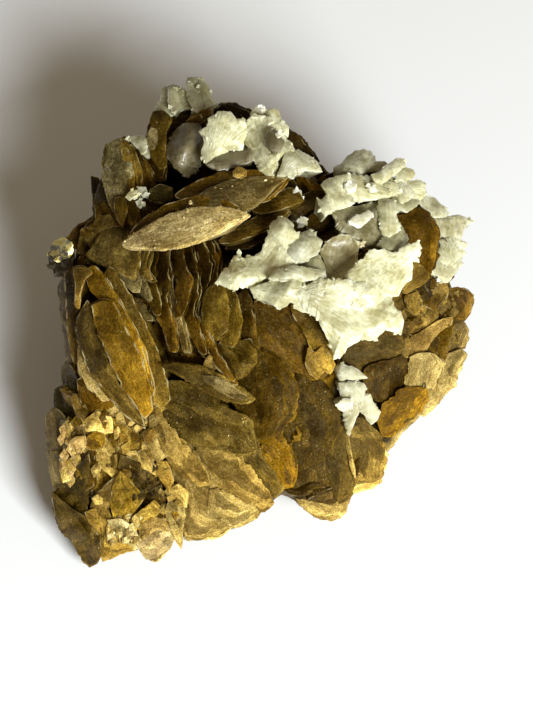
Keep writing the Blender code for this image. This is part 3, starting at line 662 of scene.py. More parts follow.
def face_plate(plate, style):
    """A plate whose face is the dome plus its rise plus its tilts times the way from its middle."""
    curve, first, second = outline_curve(plate.outline, style.roundness)
    middle = curve.mean(0)

    def height(flat):
        tilt = (flat[..., 0] - middle[0]) * plate.tilt_across
        tilt = tilt + (flat[..., 1] - middle[1]) * plate.tilt_up
        return dome(flat[..., 0], flat[..., 1]) + plate.rise + tilt

    sides = two_sides(curve, first, second, style.spacing)
    made = plate_surface(sides, style, plate.root, height, TONES[plate.tone])
    made["points"] = face_to_world(along_sight(made["points"]))
    return made


def layered(plate, style):
    """A plate and the layer under it, which is a little lower, wider and out of step."""
    top = face_plate(plate, style)
    corner = np.array(plate.outline, float)
    middle = corner.mean(0)
    slip = chance.normal(scale=LAYER_SLIP, size=2) + LAYER_SLIP * LIT_SIDE
    grown = middle + (corner - middle) * (1 + LAYER_GROWTH) + slip
    lower = plate._replace(outline=grown, rise=plate.rise - LAYER_STEP)
    return [top, face_plate(lower, style)]


print("two layers,", LAYER_STEP, "mm apart")

# %% [markdown]
# ## Making a mesh
#
# The bundle becomes a mesh in one go.  Tone, edge and grain travel with the points as attributes,
# so a finish knows which crystal it is on, how near the rim it is and which way the crystal grew.
# Faces are shaded smooth except where they meet at more than a set angle, as cleavage edges do.

# %% Mesh from a bundle
SHARP_ANGLE = math.radians(32.0)
FLOOR_CLEARANCE = 0.01    # nothing reaches lower than this over the table


def make_piece(name, bundle, finish, slot, *nodes):
    """Puts a bundle into a mesh, gives it its finish, hangs it on the root and hides the solids
    it stands for.
    """
    points = bundle["points"].copy()
    points[:, 2] = np.maximum(points[:, 2], FLOOR_CLEARANCE)
    corners = np.concatenate([bundle["quads"].ravel(), bundle["fans"].ravel()])
    sizes = np.repeat([4, 3], [len(bundle["quads"]), len(bundle["fans"])])
    starts = np.concatenate([[0], np.cumsum(sizes)[:-1]])
    mesh = bpy.data.meshes.new(name)
    mesh.vertices.add(len(points))
    mesh.vertices.foreach_set("co", (points * MM).ravel())
    mesh.loops.add(len(corners))
    mesh.loops.foreach_set("vertex_index", corners)
    mesh.polygons.add(len(sizes))
    mesh.polygons.foreach_set("loop_start", starts)
    mesh.update(calc_edges=True)
    mesh.shade_smooth()
    mesh.set_sharp_from_angle(angle=SHARP_ANGLE)
    tone = np.concatenate([bundle["tone"], np.ones((len(points), 1))], 1)
    mesh.attributes.new("tone", "FLOAT_COLOR", "POINT").data.foreach_set("color", tone.ravel())
    mesh.attributes.new("edge", "FLOAT", "POINT").data.foreach_set("value", bundle["edge"])
    grain = mesh.attributes.new("grain", "FLOAT_VECTOR", "POINT")
    grain.data.foreach_set("vector", bundle["grain"].ravel())
    mesh.materials.append(finish)
    piece = bpy.data.objects.new(name, mesh)
    bpy.context.scene.collection.objects.link(piece)
    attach(piece, "root")
    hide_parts(*nodes)
    print(f"{name}: {len(sizes) + len(bundle['quads'])} triangles")


# %% [markdown]
# ## Shader sums as expressions
#
# A finish is easier to read as a formula than as a web of nodes.  This class wraps one socket, and
# plus, minus and times on it add the Math nodes.

# %% A socket that can be used in sums
class Value:
    """One output socket of a finish.  Arithmetic on it adds Math nodes."""

    def __init__(self, finish, socket):
        self.finish = finish
        self.socket = socket

    def sum_with(self, operation, first, second):
        """The Math node of that name, fed with two sockets or numbers."""
        return self.finish.node("ShaderNodeMath", {"operation": operation},
                                {0: first, 1: second})

    def __add__(self, other):
        return self.sum_with("ADD", self, other)

    def __radd__(self, other):
        return self.sum_with("ADD", other, self)

    def __rsub__(self, other):
        return self.sum_with("SUBTRACT", other, self)

    def __mul__(self, other):
        return self.sum_with("MULTIPLY", self, other)

    def __rmul__(self, other):
        return self.sum_with("MULTIPLY", other, self)


class Finish:
    """A material and a short way to add nodes to it."""

    def __init__(self, name):
        self.material = bpy.data.materials.new(name)
        self.material.use_nodes = True
        self.tree = self.material.node_tree
        self.shader = self.tree.nodes["Principled BSDF"]

    def node(self, kind, settings, inputs, output=0):
        """Adds a node: its settings first, then a value or a link for each named socket."""
        made = self.tree.nodes.new(kind)
        for key, value in settings.items():
            setattr(made, key, value)
        for key, value in inputs.items():
            self.feed(made.inputs[key], value)
        return Value(self, made.outputs[output])

    def feed(self, socket, value):
        """Links another node's output to a socket, or sets the socket to a plain value."""
        if isinstance(value, Value):
            self.tree.links.new(value.socket, socket)
        else:
            socket.default_value = value

    def mix(self, factor, first, second, kind="MIX"):
        """Colour mix of two colours."""
        settings = {"data_type": "RGBA", "blend_type": kind}
        return self.node("ShaderNodeMix", settings, {0: factor, 6: first, 7: second}, 2)

    def shaded(self, colour, fields):
        """Colour times a shade for each field: "dark" below its low value, "light" above its high
        value and a smooth change between them."""
        for field, low, high, dark, light in fields:
            shade = self.mix(self.span(field, low, high), dark, light)
            colour = self.mix(1.0, colour, shade, "MULTIPLY")
        return colour

    def vector(self, operation, first, second, key=1):
        """Vector sum of two vectors, or a vector scaled by a number with key 3."""
        return self.node("ShaderNodeVectorMath", {"operation": operation},
                         {0: first, key: second})

    def noise(self, place, scale, detail=3.0, roughness=0.55):
        """Soft noise, about 0 to 1."""
        return self.node("ShaderNodeTexNoise", {},
                         {"Vector": place, "Scale": scale, "Detail": detail,
                          "Roughness": roughness}, "Fac")

    def span(self, value, low, high):
        """Stretches the range low to high into 0 to 1 and clips the rest."""
        return self.node("ShaderNodeMapRange", {"interpolation_type": "SMOOTHSTEP"},
                         {"Value": value, "From Min": low, "From Max": high})

    def attribute(self, name, output):
        """What the mesh holds at each point under a name: tone, edge or grain."""
        return self.node("ShaderNodeAttribute", {"attribute_name": name}, {}, output)

    def set(self, **values):
        """Sets or links the shader's own sockets."""
        for key, value in values.items():
            self.feed(self.shader.inputs[key.replace("_", " ")], value)


print("shader helpers ready")

# %% [markdown]
# ## The glitter
#
# Frosted mineral faces carry countless tiny facets.  A cell pattern gives each quarter of a
# millimetre a direction of its own, so that a few of them always flash in the light.  The same
# pattern at a larger scale, drawn out along the crystal, gives its cleavage patches.

# %% Glitter and grain shared by the finishes
def glitter_normal(finish, place, cells, strength, normal=None):
    """Surface normal leaned by the random colour of each cell, and one channel of that colour."""
    cell = finish.node("ShaderNodeTexVoronoi", {}, {"Vector": place, "Scale": cells}, "Color")
    normal = normal or finish.node("ShaderNodeNewGeometry", {}, {}, "Normal")
    lean = finish.vector("SUBTRACT", cell, (0.5, 0.5, 0.5))
    leaned = finish.vector("SCALE", lean, strength, "Scale")
    summed = finish.vector("ADD", normal, leaned)
    chosen = finish.node("ShaderNodeSeparateColor", {}, {"Color": cell}, "Green")
    return finish.node("ShaderNodeVectorMath", {"operation": "NORMALIZE"}, {0: summed}), chosen


print("glitter ready")

# %% [markdown]
# ## Siderite finish
#
# Siderite is glassy to frosted and lets light a few millimetres in: dark olive-brown in the mass,
# amber and gold where it is thin, where light is also painted into the tone.  A pale tan line runs
# along every broken or ledged edge, partly its own pale colour and partly a painted highlight.
# The base colour starts from the crystal's tone, darkens and warms in soft zones, gains growth
# lines along the crystal and pales at the rim.  Painted glints are strewn over it, and some
# scattering under the surface gives the honeyed depth.

# %% Siderite
ZONE_SCALE, PATCH_SCALE, GRIT_SCALE = 260.0, 900.0, 4200.0    # patches in a metre
BEND_SCALE, PAINTED_GLINT_SCALE, GLITTER_SCALE = 700.0, 4600.0, 3400.0
GROWTH_SQUEEZE = (0.10, 1.0, 1.0)     # growth lines are long along the grain
FACET_SQUEEZE = (0.30, 1.0, 0.5)
FACET_BEND = 0.9
WEAR_AND_HIGHLIGHT_TONE, PAINTED_GLINT_TONE = (0.48, 0.38, 0.18, 1), (0.75, 0.60, 0.32, 1)
BUMP_HEIGHT = 0.0002      # in metres, as Blender wants it


def siderite_finish():
    """Tone times zones, patches, cleavage facets, growth lines and grit; then pale rims, partly
    wear and partly painted highlight, painted glints and a little scattering."""
    finish = Finish("siderite_finish")
    place = finish.node("ShaderNodeTexCoord", {}, {}, "Object")
    grain = finish.attribute("grain", "Vector")
    body = finish.attribute("tone", "Color")
    edge = finish.attribute("edge", "Fac")
    lines = finish.noise(finish.vector("MULTIPLY", grain, GROWTH_SQUEEZE), 2.6, 4.0, 0.65)
    zones = finish.noise(place, ZONE_SCALE, 3.0)
    patches = finish.noise(place, PATCH_SCALE, 4.0, 0.62)
    grit = finish.noise(place, GRIT_SCALE, 2.0, 0.7)
    along = finish.vector("MULTIPLY", grain, FACET_SQUEEZE)
    bend = finish.node("ShaderNodeTexNoise", {}, {"Vector": place, "Scale": BEND_SCALE}, "Color")
    wavy = finish.vector("ADD", along, finish.vector("SCALE", bend, FACET_BEND, "Scale"))
    facets, facet = glitter_normal(finish, wavy, 0.62, 0.34)
    body = finish.shaded(body, (
        (zones, 0.36, 0.64, (0.70, 0.63, 0.46, 1), (1.26, 1.21, 1.06, 1)),
        (patches, 0.36, 0.66, (0.86, 0.83, 0.74, 1), (1.12, 1.11, 1.09, 1)),
        (facet, 0.10, 0.90, (0.60, 0.56, 0.44, 1), (1.42, 1.39, 1.32, 1)),
        (lines, 0.38, 0.66, (0.78, 0.75, 0.66, 1), (1.20, 1.19, 1.16, 1)),
        (grit, 0.36, 0.68, (0.66, 0.64, 0.56, 1), (1.40, 1.40, 1.46, 1))))
    # Pale rim line: partly wear, partly a painted highlight of the thin rim
    worn = finish.span(edge * (0.35 + 1.0 * finish.noise(place, PATCH_SCALE, 3.0)), 0.25, 0.70)
    body = finish.mix(worn * 0.85, body, WEAR_AND_HIGHLIGHT_TONE)
    # Painted glints: rare pale specks painted into the base colour
    painted_glint = finish.span(finish.noise(place, PAINTED_GLINT_SCALE, 1.0), 0.69, 0.74)
    painted_glint = painted_glint * finish.span(zones, 0.48, 0.60)
    body = finish.mix(painted_glint * 0.55, body, PAINTED_GLINT_TONE)
    normal, chosen = glitter_normal(finish, place, GLITTER_SCALE, 0.40, facets)
    bump = finish.node("ShaderNodeBump", {}, {"Strength": 0.45, "Distance": BUMP_HEIGHT,
                                              "Height": lines + grit, "Normal": normal})
    finish.set(Base_Color=body, Normal=bump,
               Roughness=0.22 + 0.20 * finish.span(zones, 0.3, 0.7) + 0.14 * chosen,
               Specular_IOR_Level=0.14, Specular_Tint=(1.0, 0.80, 0.42, 1), IOR=1.5,
               Subsurface_Weight=0.25, Subsurface_Radius=(1.0, 0.75, 0.18),
               Subsurface_Scale=0.0020)
    return finish.material


siderite = siderite_finish()
print("made", siderite.name)

# %% [markdown]
# ## Dolomite finish
#
# The dolomite is pearly and cream-white, lets light further in than the siderite does, and its
# faces are covered with fine lines that fan out to a sharp, ragged edge.  A few faces flash white
# in the light, a few small petals are painted near-white as glints, and the petals that lie lower
# or in hollows are painted greyer as shade.
# Rusty grime gathers in patches.

# %% Dolomite
PEARL_SCALE, FINE_SCALE, GRIME_SCALE, FLASH_SCALE = 330.0, 1700.0, 700.0, 1500.0
LINE_SQUEEZE = (0.10, 1.0, 0.3)
PALE_RIM_WEAR_AND_HIGHLIGHT, GRIME = (0.90, 0.90, 0.78, 1), (0.26, 0.19, 0.08, 1)


def dolomite_finish():
    """Tone times pearly zones, fanned lines and fine mottling; then pale rims, partly wear and
    partly painted highlight, and rusty grime.
    """
    finish = Finish("dolomite_finish")
    place = finish.node("ShaderNodeTexCoord", {}, {}, "Object")
    grain = finish.attribute("grain", "Vector")
    body = finish.attribute("tone", "Color")
    edge = finish.attribute("edge", "Fac")
    zones = finish.noise(place, PEARL_SCALE, 4.0)
    fine = finish.noise(place, FINE_SCALE, 4.0, 0.65)
    lines = finish.noise(finish.vector("MULTIPLY", grain, LINE_SQUEEZE), 3.4, 4.0, 0.65)
    body = finish.shaded(body, (
        (zones, 0.36, 0.60, (0.78, 0.74, 0.58, 1), (1.12, 1.12, 1.10, 1)),
        (lines, 0.36, 0.64, (0.80, 0.78, 0.66, 1), (1.10, 1.10, 1.10, 1)),
        (fine, 0.34, 0.60, (0.88, 0.86, 0.78, 1), (1.04, 1.04, 1.04, 1))))
    # Pale rims: partly wear, partly a painted highlight of the thin edge
    body = finish.mix(finish.span(edge, 0.3, 0.9) * 0.5, body, PALE_RIM_WEAR_AND_HIGHLIGHT)
    grime = finish.span(finish.noise(place, GRIME_SCALE, 5.0, 0.7), 0.62, 0.72)
    body = finish.mix(grime * 0.40, body, GRIME)
    normal, _ = glitter_normal(finish, place, FLASH_SCALE, 0.32)
    bump = finish.node("ShaderNodeBump", {}, {"Strength": 0.55, "Distance": BUMP_HEIGHT,
                                              "Height": 0.7 * fine + 1.2 * lines, "Normal": normal})
    finish.set(Base_Color=body, Normal=bump, Roughness=0.28 + 0.25 * fine, IOR=1.6,
               Coat_Weight=0.25, Coat_Roughness=0.12,
               Subsurface_Weight=0.25, Subsurface_Radius=(1.0, 0.9, 0.65),
               Subsurface_Scale=0.0014)
    return finish.material


dolomite = dolomite_finish()
print("made", dolomite.name)

# %% [markdown]
# ## Brassy finish
#
# The grain at the left edge is a sulphide: a metal-bright yellow where it is fresh, going dark at
# its foot, which is partly tarnished and partly painted shade.

# %% Brassy sulphide
TARNISH = (0.06, 0.05, 0.035, 1)


def brassy_finish():
    """Metal of the tone where a patchy noise is high, the dull TARNISH colour where it is low."""
    finish = Finish("brassy_finish")
    place = finish.node("ShaderNodeTexCoord", {}, {}, "Object")
    tone = finish.attribute("tone", "Color")
    patch = finish.span(finish.noise(place, PATCH_SCALE, 4.0, 0.6), 0.40, 0.56)
    body = finish.mix(patch, TARNISH, tone)
    normal, _ = glitter_normal(finish, place, 1600.0, 0.5)
    finish.set(Base_Color=body, Metallic=0.85 * patch, Roughness=0.55 - 0.25 * patch,
               Normal=normal)
    return finish.material


brassy = brassy_finish()
print("made", brassy.name)

# %% [markdown]
# ## Small rhombs
#
# Both carbonates cleave and grow as rhombs, slanted blocks whose edges meet at 73 degrees.  One
# function makes any number of them at once; one scatters them over a box of the face, another
# sows them on a surface that is already made.

# %% Rhombs
RHOMB_ANGLE = math.radians(73.0)
# How pale a small block's rims are: partly wear, partly a painted highlight
BLOCK_EDGE = 0.35         # how worn a small block looks
BLOCK_SQUASH, SOWN_SQUASH = 0.6, 0.45
SCATTER_LEAN, SOWN_LEAN = 0.22, 0.35
BEARING_SPREAD = 9.0      # degrees
SOWN_PER_POINT = 0.004    # sown rhombs for each point of a petal
RIM_SHARE = 0.5           # edge value above which a point counts as rim


def rhombs(middles, normals, bearings, sizes, tones, squash=BLOCK_SQUASH):
    """Slanted blocks: eight corners each, on three edges that meet at the cleavage angle."""
    count = len(middles)
    cosine, sine = math.cos(RHOMB_ANGLE), math.sin(RHOMB_ANGLE)
    third = (cosine - cosine * cosine) / sine
    edges = np.array([[1, 0, 0], [cosine, sine, 0],
                      [cosine, third, math.sqrt(1 - cosine ** 2 - third ** 2) * squash]])
    corner = np.array([[x, y, z] for z in (-0.5, 0.5) for y in (-0.5, 0.5) for x in (-0.5, 0.5)])
    block = corner @ edges
    side = np.stack([np.cos(bearings), np.sin(bearings), np.zeros(count)], -1)
    first = unit(side - normals * (side * normals).sum(-1, keepdims=True))
    second = np.cross(normals, first)
    turn = np.stack([first, second, normals], 1)
    points = np.einsum("ck,nkj->ncj", block, turn) * sizes[:, None, None] + middles[:, None]
    face = np.array([[0, 2, 3, 1], [4, 5, 7, 6], [0, 1, 5, 4],
                     [2, 6, 7, 3], [0, 4, 6, 2], [1, 3, 7, 5]])
    quads = (face[None] + 8 * np.arange(count)[:, None, None]).reshape(-1, 4)
    tone = np.repeat(tones, 8, 0)
    edge = np.full(8 * count, BLOCK_EDGE)
    own = (block[None] * sizes[:, None, None]).reshape(-1, 3) + np.repeat(middles, 8, 0)
    return surface(points.reshape(-1, 3), quads, np.zeros((0, 3), int), tone, edge, own)


def leaning_normals(count, lean):
    """The direction out of the face, leaned by chance."""
    return unit(FACE_AXES[2] + chance.normal(scale=lean, size=(count, 3)))


def scattered_rhombs(count, box, bearing, sizes, tone_names, lifts):
    """Blocks scattered over a box of the face (across from, to, up from, to), near one bearing,
    lifted over the dome by a height between two lifts."""
    across = chance.uniform(box[0], box[1], count)
    up = chance.uniform(box[2], box[3], count)
    lift = chance.uniform(*lifts, count)
    middles = face_to_world(np.stack([across, up, dome(across, up) + lift], -1))
    normals = leaning_normals(count, SCATTER_LEAN)
    bearings = np.radians(bearing + chance.normal(scale=BEARING_SPREAD, size=count))
    tones = np.array([TONES[tone_names[i % len(tone_names)]] for i in range(count)])
    tones = tones * chance.uniform(0.75, 1.2, (count, 1))
    return rhombs(middles, normals, bearings, chance.uniform(*sizes, count), tones)


def sown_rhombs(bundle, size, share=SOWN_PER_POINT, inner=0.02, tone=None):
    """Small rhombs at random points of a surface: "inner" is the chance away from the rim."""
    points, edge = bundle["points"], bundle["edge"]
    weight = np.where(edge > RIM_SHARE, 1.0, inner)
    count = max(3, int(share * len(points)))
    chosen = chance.choice(len(points), count, p=weight / weight.sum())
    normals = leaning_normals(count, SOWN_LEAN)
    bearings = chance.uniform(0, 2 * np.pi, count)
    tones = bundle["tone"][chosen] if tone is None else np.tile(TONES[tone], (count, 1))
    tones = tones * chance.uniform(0.85, 1.12, (count, 1))
    sizes = chance.uniform(*size, count)
    return rhombs(points[chosen], normals, bearings, sizes, tones, SOWN_SQUASH)


print("rhombs with edges at", round(math.degrees(RHOMB_ANGLE)), "degrees")

# %% [markdown]
# ## The great lenses
#
# Two long frosted lenses lie across the top of the face, with thinner amber plates behind them and
# a third one lower down.  Tiny flat rhombs on the lenses flash where they face the light, and their
# pale cream tone is a painted glint as well.

# %% Great lenses
# The last row, in the dark tone, is a backing sheet under the lens, painted near-black as shade.
LENS_PLATES = plate_rows("""
frost 8.5 0.1 -0.35 5: -22.4 12.9, -20.9 14.2, -19 15.3, -16.6 16.8, -14.4 17.7, -11.3 18.6,
    -8.2 18.8, -5.1 18.6, -2.2 17.8, -3.4 16.9, -5.1 16.2, -7.7 14.7, -11.3 13.2, -15.4 12.4,
    -19.6 12.4, -21.6 12.5
amber 7 0.1 -0.2 6: -21 14.6, -18 17.6, -14 19.6, -10 20.5, -6 19.8, -3.5 18.4, -8 15, -15 14.5
frost_dark 6.5 0.05 -0.45 6: -11.6 19.5, -8.2 21.8, -5.1 23, -1 23.6, 2.6 23.7, 4.2 23.7, 2.1 22.2,
    0 20.2, -1.5 18.9, -4.1 18.1, -8.2 18.7
amber 5.2 0.05 -0.3 7: -14 20.6, -10 23, -6 24.4, 0 24.6, 4 23.6, 0 20, -8 19.5
olive 4.2 0.05 -0.5 6: -1.7 18.6, 1.1 20.1, 4.2 21.8, 5.7 21.4, 6.7 19.9, 5.4 19.5, 3.1 18.6, 0 18
brown_grey 3.2 0.08 -0.5 6: -6.9 13.6, -3.6 15.7, 0 17.7, 3.6 18.5, 4.4 18.3, 2.6 16.6, -1 15,
    -5.1 13.6
dark 0.8 0.08 -0.4 6: -6 12.2, -3 13.9, 0 15, 2.5 15.6, 1 14, -2 12.6
""")


def siderite_mesh(name, bundles):
    """One named piece from bundles of siderite."""
    make_piece(name, join(bundles), siderite, "siderite", "siderite_crystals")


def siderite_piece(name, plates, style=BLADE, extra=()):
    """One named piece from a table of siderite plates, each with its layers."""
    made = [part for plate in plates for part in layered(plate, style)]
    siderite_mesh(name, made + list(extra))


LENS_STYLE = BLADE._replace(roundness=0.36, wander=0.04, teeth=0.08, ruffle=0.0, terrace=0.05,
                             worn=0.8)
siderite_piece("great_lenses", LENS_PLATES, LENS_STYLE)


def glints(name, plates, style, size, share, tone):
    """Rhombs sown on some plates, at half the rim's chance away from the rim."""
    siderite_mesh(name, [sown_rhombs(face_plate(plate, style), size, share, 0.5, tone)
                         for plate in plates])


# The lens glints are also painted pale cream, a painted highlight.
glints("lens_glints", [LENS_PLATES[0], LENS_PLATES[2]], LENS_STYLE, (0.10, 0.40), 0.030, "cream")

# %% [markdown]
# ## The book of blades at the upper left
#
# Four or five blades stand on edge like the pages of a book, frosted grey-green on the page that
# faces the light and brown on the rest.  Below it a blunt shoulder carries a few chips.

# %% Book of blades
# The broad rows with round-numbered outlines at rise -6, -1 and -4 are backing sheets,
# painted near-black as shade in the gaps.
BOOK_PLATES = plate_rows("""
sage 2.8 0.15 0.15 9: -25.5 25.9, -25 28.7, -23.6 29.6, -22.6 29.9, -21.6 28, -20.9 25, -20.4 22,
    -20.9 20.4, -21.8 19.6, -22.4 18.4, -23.2 17.1, -24.5 19.7, -25.4 23.3
olive_tan 3.2 0.15 0.15 5: -22.9 29.8, -22.2 29.9, -21.3 27.4, -20.6 24.4, -20.3 21.6, -21 20.6,
    -21.6 23.4, -22.3 26.8
olive 2 -0.5 0.1 9: -22.6 29.8, -21.5 29.6, -20.2 27.4, -19.2 24.4, -19.4 22, -20.1 20.6, -20.6 23,
    -21.4 26.5
brown 1 -0.3 0.1 6: -20.2 28.2, -19.3 27.1, -17.8 24.4, -17.4 22.3, -18.6 21.4, -19.3 23.2,
    -20.2 25.6
dark -1.5 0.2 0 6: -27.4 23.9, -26.2 23.4, -24.7 19.7, -23.7 16.4, -25 17.4, -26.6 16.4, -27 20.2
brown_dark 1 0.45 -0.2 8: -26.6 20.5, -25.8 23.5, -24.2 21, -22.4 20.3, -21.4 16.2, -23.5 15.8,
    -26.2 17.4
olive 3.4 0.3 0.1 6: -23.4 20.4, -21.9 20.6, -21.7 18.4, -22.3 15.6, -23.1 16.8, -23.5 18.6
olive 3.2 0.3 0.1 6: -21.6 20.4, -20.3 20, -19.7 17.8, -20.5 15.4, -21.4 16.6, -21.7 18.4
olive 1.2 0.2 0.1 6: -17.3 34.2, -18 31.9, -18.4 30, -17.8 27.4, -16.5 24.8, -15.4 25.4,
    -15.6 28.5, -15.4 31, -14.6 33.2, -15.8 34.4
brown -0.8 -0.2 0.1 5: -15.9 33.6, -13.6 35.2, -11.2 34.6, -9.8 33, -11 31.6, -13.6 31.8,
    -15.4 30.6
brown_dark 0.3 0.3 0.1 6: -19.2 30, -17.4 30.4, -15.6 27, -15.8 23.5, -17.4 23.5, -18.6 27
dark -6 0 0 7: -19 23, -18 28, -10 31, -1 29, 0 25, -9 21, -17 18
brown_dark -1 0 0.9 9: -11 23.4, -10 26.6, -6 28.4, 0 28.6, 3 26.4, 1 24.2, -4 23.6, -8 23
dark -4 0 0.3 4: -9 33, -6.5 35.3, -4 35, 0 33, 6 30, 9 26, 4 24, -6 28
green_dark 3 0 0.1 5: -18 21.6, -16.4 22.4, -14.4 21.9, -14.4 20, -16.2 19.6, -17.8 20
tan 6 0 0.2 4: -4.7 24.6, -3.9 25.3, -3 24.9, -2.9 24, -3.8 23.6, -4.6 23.9
tan_green 1 0 0.5 8: -29.6 11.8, -28.9 14.5, -27.8 16.3, -26.8 17.2, -24.4 17.7, -23.6 16.2,
    -26.8 13.3, -28.2 11.2
amber_dark -1 0 0.2 8: -31.6 13.6, -30.4 15, -27.8 16.8, -25.8 18.6, -24 18, -26 14, -29 11.5
tan_green 2.2 0.05 -0.15 6: -28 11.2, -26.6 13.4, -24.7 16.1, -22.6 17.2, -21 16.8, -19.6 13.5,
    -19.9 9.5, -20.6 7.4, -22.8 8.4, -25.4 9.6
grey_green 1.4 0 -0.1 5: -22.8 8, -20.2 9, -19.2 7.4, -19.6 5.2, -20.8 5.4
grey_green 0.4 0.1 -0.1 5: -21 5.6, -19.2 6.6, -18.4 3.5, -17.4 0.6, -18.6 0.8, -20 3
""")
BOOK_STYLE = BLADE._replace(roundness=0.06, teeth=0.20, striae=0.03)
siderite_piece("upper_left_book", BOOK_PLATES, BOOK_STYLE)

# %% [markdown]
# ## Golden blades
#
# Long blades sweep down the left of the face.  The widest one looks golden, as if lit from within:
# partly its own colour and partly light painted into its tone.  The ones beside it are seen nearly
# edge-on, and their ledges show as pale lines, painted as highlights along the rims.

# %% Golden blades and the left flank
GOLDEN_PLATES = plate_rows("""
olive_tan 3.2 0.15 0.05 7: -24.6 9.4, -23.4 8.6, -21.6 5.4, -19.8 2.1, -17.6 -2.3, -15.8 -7.2,
    -14.8 -11.8, -16.2 -13.4, -17.8 -12, -19 -6, -22 0.6, -25.6 6.4
gold_amber 4 0.15 0.05 7: -28.4 8.4, -27 9.6, -25.1 7.4, -22 2.1, -19.3 -3.2, -17.6 -9.9,
    -18.2 -11, -20.5 -4, -24 2, -27.2 5.4
gold_amber 6 0.12 0.05 7: -27.1 3, -25.6 3.9, -23.8 3.5, -21.8 -1, -19.6 -5, -18.2 -9.4,
    -17.7 -13.4, -18.8 -15, -20.6 -12.2, -22.5 -9.4, -24.7 -4.5, -26.5 -0.1
brown_grey 4.4 0.1 0.05 7: -29.3 1.2, -28 4, -27.1 2.4, -26.5 -0.8, -24.9 -5.2, -22.7 -9.9,
    -19.3 -14.6, -18.8 -16.2, -21.4 -14.4, -24.6 -11, -27 -8, -28.6 -4.6, -29.6 -1
cream_edge 2.8 0.1 0.05 7: -29.4 -3.2, -28.4 -4.4, -26.4 -8.8, -23.4 -12.4, -20.4 -15.4,
    -21.2 -16.2, -24.6 -13.8, -27.6 -10.4, -29.2 -7
tan 4.4 0 0 4: -30 9.1, -28.4 9.3, -27.2 8.4, -28.4 7.4, -29 5, -29.2 2.6, -29.9 3, -29.8 6.5
brown_grey 1.2 0.3 0 8: -31.4 8.2, -30 9.2, -28.8 6, -28.6 1, -28.9 -5, -30.2 -6, -31 -1, -31.3 4
amber_brown 2.6 0.1 0 7: -29.6 -8.8, -27.6 -8.2, -25.4 -10.6, -23.6 -13, -26 -13.8, -27.6 -15.2,
    -29 -12.2
""")
FLANK_PLATES = plate_rows("""
flank -0.8 0.9 0 9: -32.2 6.5, -31.2 8.8, -30 6, -29.8 1, -30.6 -1, -31.8 1.5
flank -1.2 1 0 9: -31.9 1.4, -30.8 2.6, -29.4 -2, -29.2 -7, -30.6 -9, -31.4 -4
flank -0.6 0.8 0.1 9: -31.2 -5.5, -29.6 -4, -28.2 -8, -28.6 -10.6, -31 -10.8, -32.2 -8.4
green_dark 0.2 0.4 0.1 9: -33 -10.2, -30.4 -9.4, -28.6 -11, -27.4 -14.6, -30 -15.8, -32.8 -14
tan_grey 0.8 0.5 0 9: -34.4 -14.6, -33.2 -13.2, -31.6 -14.8, -31.6 -20, -31.2 -25.5, -33.4 -26,
    -34.3 -20
blue_grey 1.8 0.3 0.1 7: -32.2 -15.2, -30.2 -15.8, -29 -16.6, -30 -18.6, -31.8 -19.4
""")
siderite_piece("golden_blades", GOLDEN_PLATES, BLADE._replace(worn=1.0))
siderite_piece("left_flank", FLANK_PLATES)

# %% [markdown]
# ## The fan under the great lens
#
# A fan of thin blades hangs below the great lens.  Each one rises steeply to its right edge, a thin
# pale line painted as a highlight, in front of the face of the next, which is darker partly because
# it turns away from the lamp and partly by painted shade.  A row follows that edge from the top to
# the foot and gives the width, the height and the tone.

# %% Fan blades
FAN_EDGES = [
    (((-18.8, 13.2), (-18.2, 11), (-18.6, 9.2), (-17.5, 7.4)), 2.4, 1.8, "tan_green"),
    (((-17, 13.2), (-16.8, 10.2), (-17.3, 7.4), (-16.4, 4.6), (-16.2, 1.8)),
     2.2, 1.7, "olive_dark"),
    (((-14.8, 13.4), (-15.1, 10), (-14.9, 6.6), (-15.3, 3.9), (-14.2, 0.4), (-13.6, -3.8)),
     2.6, 2.7, "brown"),
    (((-13.6, 13.4), (-14.1, 9.4), (-14.4, 6.4), (-13.6, 2.4), (-12.9, 0.6), (-11.8, -3.9)),
     1.8, 2.1, "grey_light"),
    (((-13.2, 13.6), (-12.2, 9.2), (-11.3, 7.6), (-11.6, 5.2), (-12.7, 1.6)), 2.4, 3.3, "brown"),
    (((-11.6, 13.4), (-10.6, 9.2), (-10.2, 6), (-11, 2.4), (-9.9, -1.4), (-8.8, -4.4)),
     2.2, 2.5, "brown_dark"),
    (((-9.7, 13.6), (-8.2, 9.8), (-8.7, 6.6), (-10.3, 2.1), (-8.6, -1.4), (-6.8, -5), (-4.4, -8.6)),
     2.4, 3.2, "brown"),
    (((-8.4, 13.9), (-7.1, 10.8), (-7.3, 7.2)), 2, 2.3, "brown_dark"),
]
FAN_TILT = 0.9
FAN_ROOT = 7.0
FAN_END = 0.45            # how wide a fan blade is at its ends, as a share of its width
FAN_STYLE = BLADE._replace(roundness=0.42, wander=0.16, ruffle=0.25, glow=0.9, worn=1.0)
